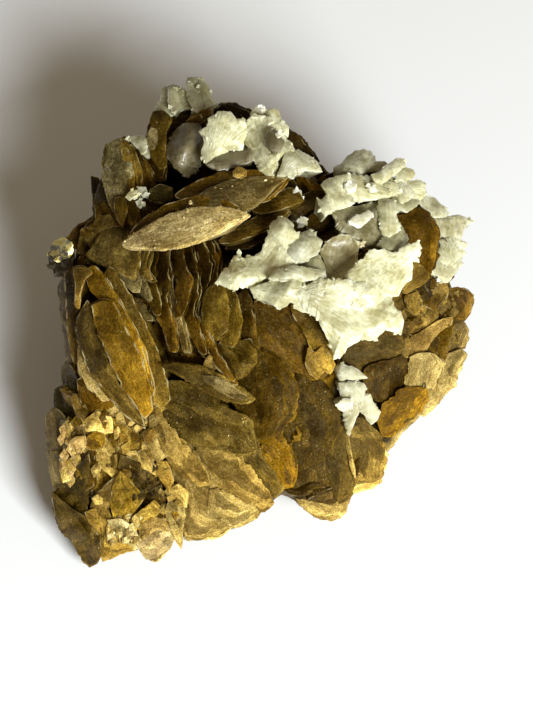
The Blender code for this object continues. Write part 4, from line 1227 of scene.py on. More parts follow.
# The two rows in the dark tone, at rise -5.5 and -4, are backing sheets painted near-black as
# shade.
LOW_FAN_PLATES = plate_rows("""
grey_green 1.6 0.7 0.1 7: -20.2 9.8, -19 8, -18.2 6, -17.5 4.2, -18.4 4, -19.6 6
amber_dark 0 0.2 0.2 7: -17.4 0, -15.8 2, -12 1, -8.6 -1, -8 -4.6, -10 -6.2, -15 -6.4, -16.6 -4.4
olive 3.6 0.25 0 7: -9.7 2.4, -8.8 5.4, -7.4 7, -6 5.8, -5.4 2.6, -5.6 -0.6, -7 -2, -8.6 -1.2
olive 2.8 0.3 0 7: -6.6 5, -5 6.6, -4 4.4, -3.4 1.2, -3.8 -2, -4.6 -3.6, -6.6 -3, -6.2 1
brown 2.2 0.35 0 7: -4.4 4, -2.6 5.8, -1.7 3, -1.2 -0.6, -0.5 -4.4, -1.6 -6, -4.2 -4.6, -4.4 0
olive 3 0.2 -0.1 7: -7 -3, -4.6 -2.6, -2 -2.4, -0.9 -3.6, -0.8 -6, -2.2 -7.8, -3.9 -8.6, -5.4 -7
tan_light 3.9 0 0.2 5: -9.6 -6.9, -9 -5.6, -8.3 -5, -7.4 -6, -6.9 -6.9, -8.3 -7.3
dark_to_amber 2.4 0.12 0.1 7: -1.6 2, -1 4.4, 0.6 4.5, 3.6 3.4, 5.6 3.2, 7.6 1.8, 9 1.1, 10 -1,
    10.7 -3.6, 11.3 -6.4, 9.6 -8.6, 6 -8.8, 3 -7, 0 -4.2, -1.2 -1
olive_gold 3.9 0.15 0.1 7: 4.6 3.2, 7 2, 9 1.2, 10 -0.8, 10.7 -3, 11.4 -6.2, 10 -7.2, 8.6 -7.4,
    7.6 -6.3, 7.8 -3.6, 6.6 -0.6, 5 1.6
gold_rough 4.2 0.1 0.1 6: 7.4 -3.6, 8.4 -4.4, 9.6 -3.4, 10.6 -4.6, 11.7 -6.4, 10.9 -7.6, 9.8 -7,
    9 -8.4, 8 -7.4, 7 -6.2
brown_grey 1.4 0.2 0.1 7: 8.6 -7.6, 10.6 -6.6, 12 -8, 12.8 -11, 12.9 -15, 12 -15.6, 10.8 -12
dark -5.5 0 0.3 8: -8 12, -4 17, 4 20, 11 19, 13 14, 9 9, 0 8, -5 7
brown_dark -2 0 0.5 8: 3.6 18.6, 6 20.6, 9.6 21.4, 10.2 19.4, 8 17.4, 5.4 16.6
brown_dark -1 0.3 0.2 8: 6.8 15.8, 8 17.8, 10.6 18.4, 11 16.8, 9.4 15.2
dark -4 0 0.3 8: 3 22.4, 4.6 25.6, 8.4 25.8, 11 23.6, 12 20, 8 18
""")


def fan_blade(edge, width, rise, tone):
    """Plate between its right edge and the same line "width" to the left, narrower at the ends
    along half a sine wave."""
    right = np.array(edge)
    middle = np.sin(np.pi * np.linspace(0, 1, len(edge)))
    reach = width * (FAN_END + (1 - FAN_END) * middle)
    left = right - reach[:, None] * np.array([1.0, 0.0])
    return Plate(tone, rise, FAN_TILT, 0.0, FAN_ROOT, np.concatenate([right, left[::-1]]))


siderite_piece("fan_blades", [fan_blade(*row) for row in FAN_EDGES], FAN_STYLE)
siderite_piece("lower_fan_blades", LOW_FAN_PLATES)

# %% [markdown]
# ## Plates of the lower face
#
# Broad, almost flat plates overlap like roof tiles over the lower half of the face.  They are thin
# at the lower rim, which is painted lighter and more golden, as light coming through would make it.

# %% Roof plates
ROOF_PLATES = plate_rows("""
tan_gold 1.7 0.1 0 7: -16.2 -19.2, -12.8 -18.6, -9.8 -20.4, -6.4 -26.6, -3 -28.8, -0.8 -29.7,
    -1.4 -30.8, -4 -32, -5.4 -32.4, -7 -33.4, -9.6 -34.3, -12.2 -34, -13 -30, -14 -25
tan_gold 2.3 0.1 0.1 6: -8.4 -26.4, -6 -26.6, -3 -28.4, -0.6 -29.5, -2.4 -31, -5.2 -32, -8.6 -31.6
tan_sparkle 2.4 0.15 0 6: -11.2 -18.4, -8 -19.6, -3.8 -20.4, -1.8 -23, 0.4 -25.8, 1.7 -27.8,
    0.2 -29.2, -2.4 -28.7, -5.6 -27, -7.8 -25, -9.4 -22
brown_sparkle 3.8 0.15 0 6: -17.2 -12.6, -15 -9.2, -12 -9.2, -9 -10.8, -6 -13.1, -3.4 -14.4,
    -2 -15.8, -1.2 -18, -0.8 -20.2, -2.6 -20.8, -6.6 -19.8, -9.4 -19.4, -11.6 -18.4, -14.2 -16.8
brown_sparkle 4.4 0.2 -0.1 5: -7.2 -16, -5 -14.2, -3 -14.8, -1.8 -17, -1 -20.2, -3 -20.8,
    -6.2 -19.8
tan_sparkle 3 0.1 0 5: -18.5 -14.2, -17 -13, -14.9 -16, -12.2 -19.5, -9.6 -22.6, -8.4 -25.2,
    -10 -25.6, -12.6 -24, -14.4 -22.6, -16.6 -18.6, -18.2 -16.6
olive_sparkle 2.6 0.2 0 6: -2 -17.2, -1 -18.5, 0 -21.3, 1.8 -23.7, 3.2 -25.9, 2 -27.6, 0.4 -26.1,
    -1.6 -23.9, -3.2 -21.3
amber_mid 1.9 0.2 0 6: -1 -18.5, 0.3 -17.8, 2.7 -17, 3.8 -18.6, 4.6 -20.7, 5.2 -23.7, 4.6 -25.6,
    2.9 -25.8, 1.6 -23.7, -0.2 -21.2
brown_sparkle 5.4 0.12 0.25 5: -16.4 -6.5, -14 -6.1, -12.2 -6.3, -10.4 -6.7, -8.7 -7.2, -6 -8.5,
    -3.3 -10.3, -1.5 -11.7, -2.7 -12.4, -6 -12, -9.6 -10.3, -12.2 -8.6, -14.7 -7.3
tan_grey 5.8 0.12 0.25 4: -9.6 -8, -7.6 -8.3, -6 -8.9, -4.4 -9.9, -2.9 -11, -2 -11.8, -3.4 -12,
    -5.6 -11.2, -7.6 -10, -9.2 -8.9
olive_rim 3.6 0.22 0 6: -4.4 -6, -1.4 -3.8, 1.8 -4.8, 4 -6.8, 5.3 -9.2, 5.5 -12, 5.1 -14.6,
    3.4 -16.2, 2.6 -17.6, 0 -18.4, -2.6 -17, -4.6 -12
dark_olive_rim 2.2 0.22 0 6: 4.4 -7, 7 -7.6, 9.6 -9, 11 -11.4, 12.2 -14, 12.7 -16.4, 11.6 -18,
    11 -20, 9.6 -21.6, 7.4 -22.6, 5.6 -23.6, 4.2 -20, 3 -15
violet 1 0.2 0.1 6: 5.3 -23.5, 7 -21.8, 9.9 -20.7, 10.8 -22.8, 11.7 -26.2, 11.8 -28.3, 10.6 -28.7,
    5.5 -27.5, 4.6 -25.3
tan_gold -0.4 0.1 0.1 6: 4.6 -25.7, 5.5 -27, 9.3 -27.6, 11.7 -28, 13.6 -27.7, 13.4 -29.9,
    12.3 -30.9, 10.6 -31.2, 9.2 -30.8, 7.4 -29.8, 5.8 -28.4
olive 1.9 0.15 0 6: 12.3 -16.3, 13.6 -18.2, 14.2 -20.4, 14.4 -22.8, 14.3 -26.8, 12.2 -28.3,
    11.2 -25.9, 10.3 -23.5, 10.3 -20.5
tan_gold 2.5 0.9 0 5: 12.6 -14.8, 13.1 -15.2, 13.8 -18.4, 14.6 -22.4, 14.9 -24.6, 14.3 -23.4,
    13.4 -19
tan_olive 1.2 0.1 0 6: 13.4 -16, 15 -15.8, 17 -17, 19 -18.6, 19.2 -21.4, 18.9 -24.2, 17.4 -25.1,
    15 -25.2, 14.4 -22, 13.6 -18.6
cream_gold -0.6 0.1 0.1 6: 17 -17.6, 19.6 -19, 19.5 -22, 18.9 -24.8, 17.6 -26.1, 16 -26.5,
    14.7 -26.9, 14 -25, 15 -21
""")
ROOF_STYLE = BLADE._replace(roundness=0.09, teeth=0.24, wander=0.14, glow=0.35, worn=0.3,
                            terrace=0.07, relief=0.02)
siderite_piece("roof_plates", ROOF_PLATES, ROOF_STYLE)
# The roof glints are painted pale cream-gold, a painted highlight.
glints("roof_glints", ROOF_PLATES[2:6], ROOF_STYLE, (0.04, 0.20), 0.035, "cream_gold")

# %% [markdown]
# ## Plates of the right side
#
# The right side is a stack of broad plates seen from their rims, broken lower down into a rough
# patch of short pieces.

# %% Plates of the right side
# The first row, in the dark tone at rise -3, is a backing sheet painted near-black as shade.
RIGHT_SIDE_PLATES = plate_rows("""
dark -3 0.1 0.1 8: 12 14, 20 20, 26 18, 27 14, 26 8, 20 6, 12 9
tan_light 1.7 0.1 0.1 5: 22.2 -3.2, 24 -2, 26 -0.9, 28 0.6, 30.6 1.4, 30.2 0.5, 28.4 -0.6,
    26.8 -2.4, 25.4 -4.6, 24 -5.4, 22.6 -5
gold_pale 0.5 0.1 0.1 7: 30.2 -4.6, 31.8 -3.8, 32.5 -4.6, 31.8 -6.1, 31 -8, 30.2 -9.8, 29.1 -10.9,
    27.5 -12.7, 25.8 -14.4, 24.8 -14, 25.2 -12.5, 25.8 -10.6, 25.8 -8.2, 26.8 -6.2, 28.6 -5.6
gold_pale 2.3 0.15 0.1 7: 23.4 -6.2, 24.6 -4.6, 27 -4.4, 28.6 -6, 28.4 -8, 27.4 -10, 26.4 -10.9,
    24.2 -10.9, 22.9 -9.4, 23.4 -7.8
amber_mid 2.5 0.1 0.1 7: 18.6 -15.6, 19.2 -13.1, 20.9 -11.6, 21.9 -10.6, 23.6 -10, 26.3 -10.1,
    26.2 -11.7, 25.2 -13.4, 23.5 -14.8, 21.9 -16.3, 20.2 -17.4, 19 -17.4
gold_pale -0.2 0.1 0.1 6: 20.6 -16.4, 23 -15, 24.8 -13.8, 25.3 -14.4, 23.3 -16.2, 21.9 -17.5,
    21.1 -19, 20 -20, 19.2 -21, 18.5 -19.8, 19 -18.3
brown 1.8 0 0.1 7: 16.5 -7.5, 17.1 -6.5, 18.6 -5.9, 20.6 -5.6, 22.3 -4.7, 22.9 -5.5, 23.3 -7.3,
    23.3 -9, 22.5 -10.2, 21.1 -11.7, 19.6 -12.5, 18 -11.7, 16.7 -10.6, 16.4 -9
brown_grey 1.4 0.1 0.2 7: 13.2 -4.4, 14.6 -2.8, 16.1 -2.2, 18 -2, 19.6 -0.6, 22.1 -1.4, 22.7 -2.8,
    22.3 -4.6, 20.6 -5.8, 18.6 -6.1, 16.9 -6.9, 16.3 -7.7, 14.4 -6.5, 12.8 -5.7
brown_grey 1.4 0.1 0.3 6: 14.6 -14.6, 16.5 -15.3, 18.2 -16.8, 19.4 -18.2, 17.4 -18.1, 15.8 -16.8
amber_dark 3.2 0.3 0 8: 21.6 16.8, 21.9 17.7, 23.3 17.9, 24.3 18.7, 25.2 18.9, 26.4 18.2,
    27.5 16.8, 28 14.9, 27.9 12.8, 27.5 10.4, 26.9 8.2, 25.4 7.2, 23.3 5.9, 24 8, 24.4 10.4,
    24 12.4, 22.8 13.2, 22.4 15.3
amber_brown 3.9 0.3 0 4: 26 18.4, 27.5 16.8, 28.1 14.9, 28 12.8, 27.6 10.4, 27 8.2, 26.3 8.6,
    26.9 11, 27.1 14, 26.6 16.6
tan_olive 3.8 0.1 0.1 5: 24.4 10, 25.6 9.6, 26.8 8, 25.6 7, 23.2 5.4, 22.4 5.6, 23.6 7.4
""")
siderite_piece("right_plates", RIGHT_SIDE_PLATES, ROOF_STYLE)
RIGHT_ROUGH_PLATES = plate_rows("""
mottle 1.2 0.1 0 7: 20.6 4.2, 23.3 5.7, 24.4 6.7, 26.4 7.6, 27.9 7.5, 28.7 6.9, 29.5 6.7, 29.9 5.7,
    29.1 4, 28.7 2.6, 27.3 0, 26.4 -0.9, 24.4 -2, 22.9 -1.1, 22.2 1.1, 21.3 2.8
tan_olive 1.8 0.2 0 5: 23.2 4.6, 24.8 5.4, 25.6 3.4, 24.8 1.4, 23.4 2.2
brown 2 0.2 0 5: 25.8 7, 27.6 7.2, 28.6 4.6, 27.4 2.2, 26 3.6
amber_rim 0.6 0.1 0.1 7: 30 5.9, 31.4 6, 32.7 5.7, 33.6 4.9, 33.7 3.8, 33.1 2, 32.4 0.9, 30.6 0.9,
    28.9 2, 28.9 3.8, 29.5 4.9
mottle_grey 0.6 0.1 0 7: 27.3 -0.7, 29.1 0.5, 31 1.1, 32.4 0.3, 32.9 -0.9, 32.9 -2, 32.4 -3.2,
    31.4 -3.9, 29.8 -5.1, 28.3 -6.3, 26.9 -6.1, 26.2 -4.7, 26 -2.8
tan_olive 1.2 0.1 0.1 5: 29.2 -0.8, 31 -0.2, 32 -1.2, 31.2 -2.8, 29.4 -2.6
brown_dark 1 0.1 0.1 5: 26.4 -2.2, 28 -1.8, 28.6 -3.4, 27.6 -4.6, 26.4 -4
""")

# %% [markdown]
# ## Cleaved steps at the lower left
#
# Here the siderite broke along its rhombohedral cleavage and left a heap of golden steps, their
# gold and cream partly their own colour and partly painted light coming through them.  The larger
# ones are rows of the table; the crumbs on them are small slanted blocks scattered by chance, all
# turned about the same way because they are parts of the same crystals.

# %% Cleaved steps
CORNER_PLATES = plate_rows("""
gold 1.6 0 0.1 9: -28 -14.8, -25 -12.8, -22 -14.2, -19.6 -16.4, -17.4 -19.2, -15.6 -23,
    -16.6 -28.6, -22 -31, -27 -30, -30 -24, -30.6 -19
cream_gold 3.3 0 0.2 6: -28.7 -15.3, -26.5 -14, -24.2 -14.7, -23.8 -16.9, -26.5 -17.1, -28 -16.9
gold 3 0.15 0.2 6: -24.2 -14.7, -22.5 -15.8, -19.8 -17.8, -19.3 -20, -22 -20.4, -23.8 -17.3
cream_gold 3.5 0.2 -0.1 6: -22 -20.4, -19.3 -20, -17.6 -22.2, -17.6 -23.6, -19.3 -22.7, -21.1 -21.6
tan_gold 3.3 0.25 0.1 6: -19.3 -16.9, -17.6 -18.2, -15.8 -20.9, -16.7 -22, -18.4 -20.4, -19.6 -18.7
amber_tan 3.4 0.2 0 6: -16.7 -21.6, -15.3 -22, -14.2 -24.9, -14.9 -26.7, -16 -24.9, -17.1 -23.1
cream_gold 3.3 0.1 0.1 6: -14.9 -26.2, -13.6 -25.6, -12 -26.7, -12.2 -28.9, -14 -28.4, -14.9 -27.6
tan_gold 3.1 0 0.1 6: -15.1 -28.4, -14 -28.7, -12.5 -29.1, -12.7 -32.4, -12.8 -35.6, -14 -33.8,
    -15.8 -31.1
peach 3.4 0.1 0.2 6: -31.2 -19.9, -30.4 -18.6, -29.6 -17.9, -28.3 -17.7, -28.1 -18.6, -28.6 -20,
    -29.4 -20.8, -30.2 -21.4
cream_gold 3 0.1 -0.1 6: -32.3 -22.9, -31.4 -21.8, -30.4 -21.2, -29.2 -20.7, -29 -21.6, -30 -23.3,
    -31 -24.9, -31.9 -25.2
peach 3 0.1 0.2 6: -29.6 -16.4, -28.2 -15.6, -27.6 -16.9, -28.2 -18, -29.3 -18
amber_gold 3.7 0 0.2 6: -28 -17.8, -26.7 -17.1, -25.5 -18, -25.6 -19.6, -27.1 -20, -28 -19.3
amber_dark 3 0.1 0.1 6: -28.7 -20.9, -27.1 -20, -26.7 -22.2, -27.1 -25.8, -28.7 -26.7, -29.3 -24.4
cream_gold 3.2 -0.1 -0.1 6: -26.7 -20.4, -25.1 -18.7, -22.9 -20.4, -22.4 -23.1, -24 -24.4,
    -25.6 -22.7, -26.7 -23.3
dark_mottle 3 -0.2 0.1 6: -22.7 -20.7, -21.6 -21.1, -19.3 -22.4, -17.1 -23.6, -14.7 -26.2,
    -15.3 -28.9, -17.1 -29.6, -19.3 -27.6, -21.6 -24.9, -22.9 -22.7
olive_gold 3.7 -0.3 0.2 6: -22.7 -23.3, -21.3 -24.9, -18.9 -27.8, -20.7 -30.2, -21.8 -31.1,
    -23.8 -30.7, -24.2 -28, -23.6 -25.3
tan 3.3 0.35 0.1 6: -26.5 -27.1, -22.9 -23.8, -23.8 -27.1, -24.4 -28.9, -27.6 -29.3
cream_gold 3.8 0 0 6: -27.2 -27.8, -26.4 -27.1, -25.6 -27.7, -25.8 -28.6, -26.8 -28.7
gold 3.5 0 0.2 6: -21.1 -31.3, -17.6 -28.4, -16.2 -29.8, -19.8 -32.7
cream 3.6 0 0.3 6: -24.8 -31.2, -22.4 -31.2, -20.6 -32.6, -19.4 -34.4, -20.4 -35.6, -22 -34.2,
    -23.6 -33.4
olive_dark 2.4 0.25 0.15 7: -27.7 -20.6, -29.6 -22.6, -31.8 -25.4, -33.5 -27.4, -32.8 -30.4,
    -30 -32, -28.2 -29.6, -27.6 -25
brown_grey 2.8 0.2 0.1 6: -33.7 -26.6, -31 -29.2, -28.6 -30.6, -26.2 -33.4, -25.7 -36.4, -26.4 -38,
    -27.5 -38.5, -28.7 -37.4, -30.4 -34.2, -31.8 -33.4, -33.2 -30
amber_tan 2.6 0.1 0.2 6: -28.4 -30, -25.2 -28.8, -24 -31, -22.3 -33.4, -20.2 -35.8, -22 -36.1,
    -24 -37, -25.8 -37.4, -26.2 -35, -27.4 -32.4
tan_light 3.1 0 0.2 6: -19.8 -32.7, -17.6 -30.7, -15.3 -31.6, -14.9 -33.1, -17.1 -32.8, -19.1 -34.4
pale_grey 2.7 -0.25 0.2 6: -20.2 -34.9, -17.6 -33.2, -15.4 -32.2, -14.2 -33.4, -14.9 -35.2,
    -17.3 -37.6, -18.8 -37.2
""")
crumbs = [
    scattered_rhombs(120, (-30.0, -16.5, -24.0, -13.6), 38.0, (0.7, 1.8),
                     ("tan_gold", "amber_mid", "cream_gold", "olive_gold", "gold", "amber_gold"),
                     (1.7, 2.75)),
    scattered_rhombs(60, (-32.2, -27.4, -25.0, -15.4), 52.0, (0.5, 1.4),
                     ("peach", "cream_gold", "peach", "tan_gold"), (1.7, 2.7)),
    scattered_rhombs(90, (-24.6, -19.0, -35.0, -30.6), 30.0, (0.3, 1.1),
                     ("cream", "cream_gold", "tan_gold", "tan_gold"), (2.2, 3.6)),
    scattered_rhombs(40, (-20.5, -15.0, -28.6, -22.5), 20.0, (0.4, 1.2),
                     ("dark_mottle", "dark", "olive_dark", "olive_gold"), (2.1, 3.0)),
    scattered_rhombs(30, (-16.0, -12.4, -31.5, -25.8), 55.0, (0.4, 1.1),
                     ("cream_gold", "tan_gold", "amber_mid"), (2.4, 3.2)),
]
FACETED = STEPPED._replace(roundness=0.02, wander=0.08, teeth=0.22, tooth=0.7, crown=0.0,
                           swell=0.22)
siderite_piece("cleaved_steps", CORNER_PLATES, FACETED, crumbs)
rough = scattered_rhombs(90, (22.5, 31.5, -4.5, 6.8), 60.0, (0.5, 1.5),
                         ("tan_gold", "mottle", "brown", "tan_olive", "amber_tan"), (-0.3, 1.0))
siderite_piece("right_steps", RIGHT_ROUGH_PLATES, STEPPED, [rough])

# %% [markdown]
# ## The matrix
#
# Under the crystals is a mass of the same mineral.  Its upper half follows the dome, with a few
# hollows between the crystals, and its lower half is a rough flank that draws in towards the base.

# %% Outline and flank
OUTLINE_REACH = np.array([32.5, 35.0, 35.0, 28.0, 34.0, 39.0, 37.0, 33.5,
                          31.5, 35.5, 43.0, 36.5, 30.0, 31.0, 29.0, 29.5])
OUTLINE_STEP = 360.0 / len(OUTLINE_REACH)       # degrees from one stated reach to the next
MATRIX_INSET = 3.0
MATRIX_DEPTH = 0.3
BASE_CENTRE = np.array([0.5, 3.0])
BASE_SHARE = 0.72         # the base's reach, as a share of the rim's
BASE_DROP = 3.0
HOLLOWS = [(-0.5, 14.0, 5.0, 7.0), (9.5, 17.5, 4.5, 6.0), (-13.0, 24.0, 5.5, 6.0),
           (-16.8, -2.5, 3.0, 4.0), (6.5, 23.0, 4.0, 5.0)]    # across, up, radius and depth


def outline_reach(bearing):
    """Reach of the outline at a bearing, straight from one stated reach to the next."""
    place = (bearing % 360.0) / OUTLINE_STEP
    before = place.astype(int) % len(OUTLINE_REACH)
    share = place - np.floor(place)
    after = (before + 1) % len(OUTLINE_REACH)
    return OUTLINE_REACH[before] * (1 - share) + OUTLINE_REACH[after] * share


def hollow_depth(across, up):
    """Depth of the hollows: a bell-shaped dip round the middle of each."""
    return sum(depth * np.exp(-((across - x) ** 2 + (up - y) ** 2) / radius ** 2)
               for x, y, radius, depth in HOLLOWS)


def flank_points(bearing, share):
    """World points from the rim of the face (share 0) in a straight line to the base (share 1)."""
    reach = outline_reach(bearing) - MATRIX_INSET
    across, up = reach * np.cos(np.radians(bearing)), reach * np.sin(np.radians(bearing))
    rim = face_to_world(np.stack([across, up, dome(across, up) - MATRIX_DEPTH], -1))
    base = np.concatenate([BASE_CENTRE + BASE_SHARE * (rim[..., :2] - BASE_CENTRE),
                           np.full(rim.shape[:-1] + (1,), -BASE_DROP)], -1)
    return rim + (base - rim) * share[..., None]


print("outline from", OUTLINE_REACH.min(), "to", OUTLINE_REACH.max(), "mm from the middle")

# %% [markdown]
# ## Keeping the outline clean
#
# Seen from the front, the crystals of the face make the outline of the specimen, so nothing
# behind them may show outside it.  Points that would are drawn in towards the middle.

# %% Tucking in
SILHOUETTE = np.array([
    (0, 32.9), (8, 34.0), (11, 32.4), (17, 33.4), (26, 37.8), (35, 34.7), (41, 34.4), (48, 34.7),
    (58, 32.6), (65, 27.6), (68, 25.8), (74, 28.1), (85, 33.6), (95, 33.1), (101, 35.7),
    (107, 40.6), (111, 41.3), (116, 39.2), (121, 36.0), (123, 34.6), (125, 36.0), (129, 38.2),
    (139, 36.4), (148, 31.8), (158, 35.0), (164, 34.5), (177, 31.9), (187, 31.7), (197, 34.5),
    (210, 39.7), (219, 43.3), (234, 47.3), (244, 41.7), (247, 36.5), (250, 38.1), (260, 32.8),
    (270, 29.5), (277, 26.7), (283, 30.0), (289, 32.8), (294, 32.8), (299, 30.7), (307, 31.2),
    (312, 28.5), (320, 27.7), (330, 28.6), (337, 30.8), (352, 32.8)])   # bearing and reach
TUCK_INSET = 0.6
TUCK_ROUGHNESS, TUCK_LENGTH = 0.25, 3.0
TUCK_SPRING = 0.15        # share of what would stick out that is left sticking out


def tucked(points):
    """Draws in whatever would show outside the face's outline: beyond the reach stated for its
    bearing, as seen from the front, only a small share of the excess is left."""
    place = (points - FACE_MIDDLE) @ FACE_AXES.T
    shrink = 1 - place[:, 2:] / SIGHT_DISTANCE
    seen = SIGHT_MIDDLE + (place[:, :2] - SIGHT_MIDDLE) / shrink
    bearing = np.degrees(np.arctan2(seen[:, 1], seen[:, 0])) % 360
    limit = np.interp(bearing, SILHOUETTE[:, 0], SILHOUETTE[:, 1], period=360.0) - TUCK_INSET
    limit = limit + TUCK_ROUGHNESS * rumple(points, TUCK_LENGTH)
    reach = np.hypot(seen[:, 0], seen[:, 1])
    kept = np.where(reach > limit, limit + TUCK_SPRING * (reach - limit), reach) / reach
    seen = seen * kept[:, None]
    flat = SIGHT_MIDDLE + (seen - SIGHT_MIDDLE) * shrink
    return face_to_world(np.concatenate([flat, place[:, 2:]], 1))


print("rough stone is kept", TUCK_INSET, "mm inside the outline")

# %% [markdown]
# ## Cleavage planes
#
# Siderite breaks along flat planes.  Seeds strewn over a surface, each with a tilt and a height,
# share it out between them, which gives the faceted look of a broken face.

# %% Cleavage
PLANE_TILT = 0.30
POINTS_AT_ONCE = 4000     # keeps the table of distances small


def cleavage(points, seeds, depth):
    """Height of a patchwork of tilted planes: each point uses the plane of its nearest seed."""
    middles = points[chance.integers(0, len(points), seeds)]
    tilt = chance.normal(scale=PLANE_TILT, size=(seeds, 3))
    step = chance.uniform(-1, 1, seeds)
    height = np.empty(len(points))
    for start in range(0, len(points), POINTS_AT_ONCE):
        part = slice(start, start + POINTS_AT_ONCE)
        away = points[part][:, None] - middles[None]
        near = (away ** 2).sum(-1).argmin(1)
        chosen = away[np.arange(len(away)), near]
        height[part] = (chosen * tilt[near]).sum(-1) + depth * step[near]
    return height


print("planes tilted by about", round(math.degrees(math.atan(PLANE_TILT))), "degrees")

# %% [markdown]
# ## The matrix as one closed surface
#
# Rings of points run out over the dome, down the flank and in under the base.  Every point is then
# pushed outward from a core by the cleavage planes and by waves of three lengths.

# %% Matrix
MATRIX_SEGMENTS = 300
FACE_RINGS, SIDE_RINGS, BASE_RINGS = 46, 100, 10
FIRST_RING, LAST_RING = 0.02, 0.98    # shares of the reach
RING_POWER = 0.9
CORE_HEIGHT = 12.0
PLANES, PLANE_DEPTH, LARGEST_PUSH = 420, 0.8, 2.2
MATRIX_WAVES = ((9.0, 0.5), (2.5, 0.25), (1.0, 0.12))     # wavelength and height
SHADE_LENGTH, WARM_LENGTH, WORN_LENGTH = 14.0, 11.0, 2.0


def matrix_surface():
    """Reach of a ring times the outline's reach over the dome, a straight line down the flank
    and a straight line in to the middle of the base, all pushed outward by the relief."""
    bearing = np.arange(MATRIX_SEGMENTS) * 360.0 / MATRIX_SEGMENTS
    ring = np.linspace(FIRST_RING, 1.0, FACE_RINGS)[:, None] ** RING_POWER
    reach = ring * (outline_reach(bearing) - MATRIX_INSET)
    across, up = reach * np.cos(np.radians(bearing)), reach * np.sin(np.radians(bearing))
    sink = MATRIX_DEPTH + hollow_depth(across, up)
    top = face_to_world(np.stack([across, up, dome(across, up) - sink], -1))
    share = np.linspace(0, 1, SIDE_RINGS + 1)[1:, None]
    side = flank_points(*np.broadcast_arrays(bearing, share))
    middle = np.array([*BASE_CENTRE, -BASE_DROP])
    inward = np.linspace(0, LAST_RING, BASE_RINGS + 1)[1:, None, None]
    under = side[-1] + (middle - side[-1]) * inward
    grid = np.concatenate([top, side, under])
    flat = grid.reshape(-1, 3)
    outward = unit(flat - np.array([*BASE_CENTRE, CORE_HEIGHT]))
    push = np.clip(cleavage(flat, PLANES, PLANE_DEPTH), -LARGEST_PUSH, LARGEST_PUSH)
    for wavelength, height in MATRIX_WAVES:
        push = push + height * rumple(flat, wavelength)
    grid = (flat + outward * push[:, None]).reshape(grid.shape)
    grid = tucked(grid.reshape(-1, 3)).reshape(grid.shape)
    points, quads, fans = close_tube(grid[:, ::-1], grid[0].mean(0), middle)
    shade = 0.6 + 0.4 * smooth_step(rumple(points, SHADE_LENGTH), -0.6, 0.9)
    tone = np.array(TONES["brown"]) * shade[:, None]
    warm = smooth_step(rumple(points, WARM_LENGTH), 0.2, 1.2)[:, None]
    tone = tone * (1 - warm) + np.array(TONES["amber_gold"]) * 0.8 * warm
    edge = 0.45 * smooth_step(rumple(points, WORN_LENGTH), 0.9, 1.6)
    return surface(points, quads, fans, tone, edge, points.copy())


siderite_mesh("matrix", [matrix_surface()])

# %% [markdown]
# ## Flank crystals
#
# Blades break out all round the flanks and over the back.  The large ones stand where the solid
# model has them, so their places are drawn from the same seeded sequence.  Smaller ones overlap
# between them like shingles.

# %% Flank blades
FLANK_RINGS = ((0.20, 8.0, 12), (0.62, 20.0, 8))
SMALL_RINGS = ((0.02, 3.0, 30), (0.14, 9.0, 28), (0.30, 0.0, 26), (0.46, 7.0, 24),
               (0.60, 2.0, 22), (0.76, 10.0, 20), (0.88, 4.0, 18))
FLANK_TONES = ("brown", "olive", "amber_gold", "tan", "brown", "violet", "grey_green", "amber")
FLANK_STYLE = BLADE._replace(spacing=0.42, thick=0.9, ledge=0.14, relief=0.10)
LENS_STEPS = 48
SPIN, PITCH = 50, 12      # degrees a blade may turn either way
POINTEDNESS = (-0.2, 0.4)
EXTRA_ROOT = 1.5
BEARING_JITTER, SHARE_JITTER = 5, 0.06
FLANK_UPWARD = 4.0        # how far the way out of the flank rises, from the base's centre


def turn_about(axis, degrees):
    """Rotation matrix about one of the three axes, right-handed."""
    cosine, sine = math.cos(math.radians(degrees)), math.sin(math.radians(degrees))
    first, second = (axis + 1) % 3, (axis + 2) % 3
    matrix = np.eye(3)
    matrix[first, first] = matrix[second, second] = cosine
    matrix[second, first], matrix[first, second] = sine, -sine
    return matrix


def lens_curve(length, width, point):
    """Closed curve: cosine along, sine to the power 1 + point aside; 0 an oval, 1 a sharp lens."""
    turn = np.arange(LENS_STEPS) * 2 * np.pi / LENS_STEPS
    aside = np.sign(np.sin(turn)) * np.abs(np.sin(turn)) ** (1 + max(0.0, point))
    return np.stack([0.5 * length * np.cos(turn), 0.5 * width * aside], -1)


def flank_axes(origin):
    """Columns: aside, along the flank and out of it, at a world point of the flank."""
    out = np.array([*(origin[:2] - BASE_CENTRE), FLANK_UPWARD])
    out /= np.linalg.norm(out)
    aside = np.array([-out[1], out[0], 0.0])
    aside /= np.linalg.norm(aside)
    return np.stack([aside, np.cross(out, aside), out], 1)


def flank_blade(draw, bearing, share, tone, lift, lean, length, width, thick):
    """A blade at a point of the flank, spun, pitched and leaned; "draw" picks every amount."""
    origin = flank_points(np.array([bearing]), np.array([share]))[0]
    axes = flank_axes(origin)
    lift, spin, lean = draw(*lift), draw(-SPIN, SPIN), draw(-lean, lean)
    pitch, length, width = draw(-PITCH, PITCH), draw(*length), draw(*width)
    thick, point = draw(*thick), draw(*POINTEDNESS)
    turn = axes @ turn_about(2, spin) @ turn_about(1, -pitch) @ turn_about(0, lean)
    curve = lens_curve(length, width, point)
    sides = two_sides(curve, LENS_STEPS // 2, 0, FLANK_STYLE.spacing)
    made = plate_surface(sides, FLANK_STYLE, thick + EXTRA_ROOT,
                         lambda flat: np.full(flat.shape[:-1], 0.5 * thick), TONES[tone])
    made["points"] = tucked(made["points"] @ turn.T + origin + lift * axes[:, 2])
    return made


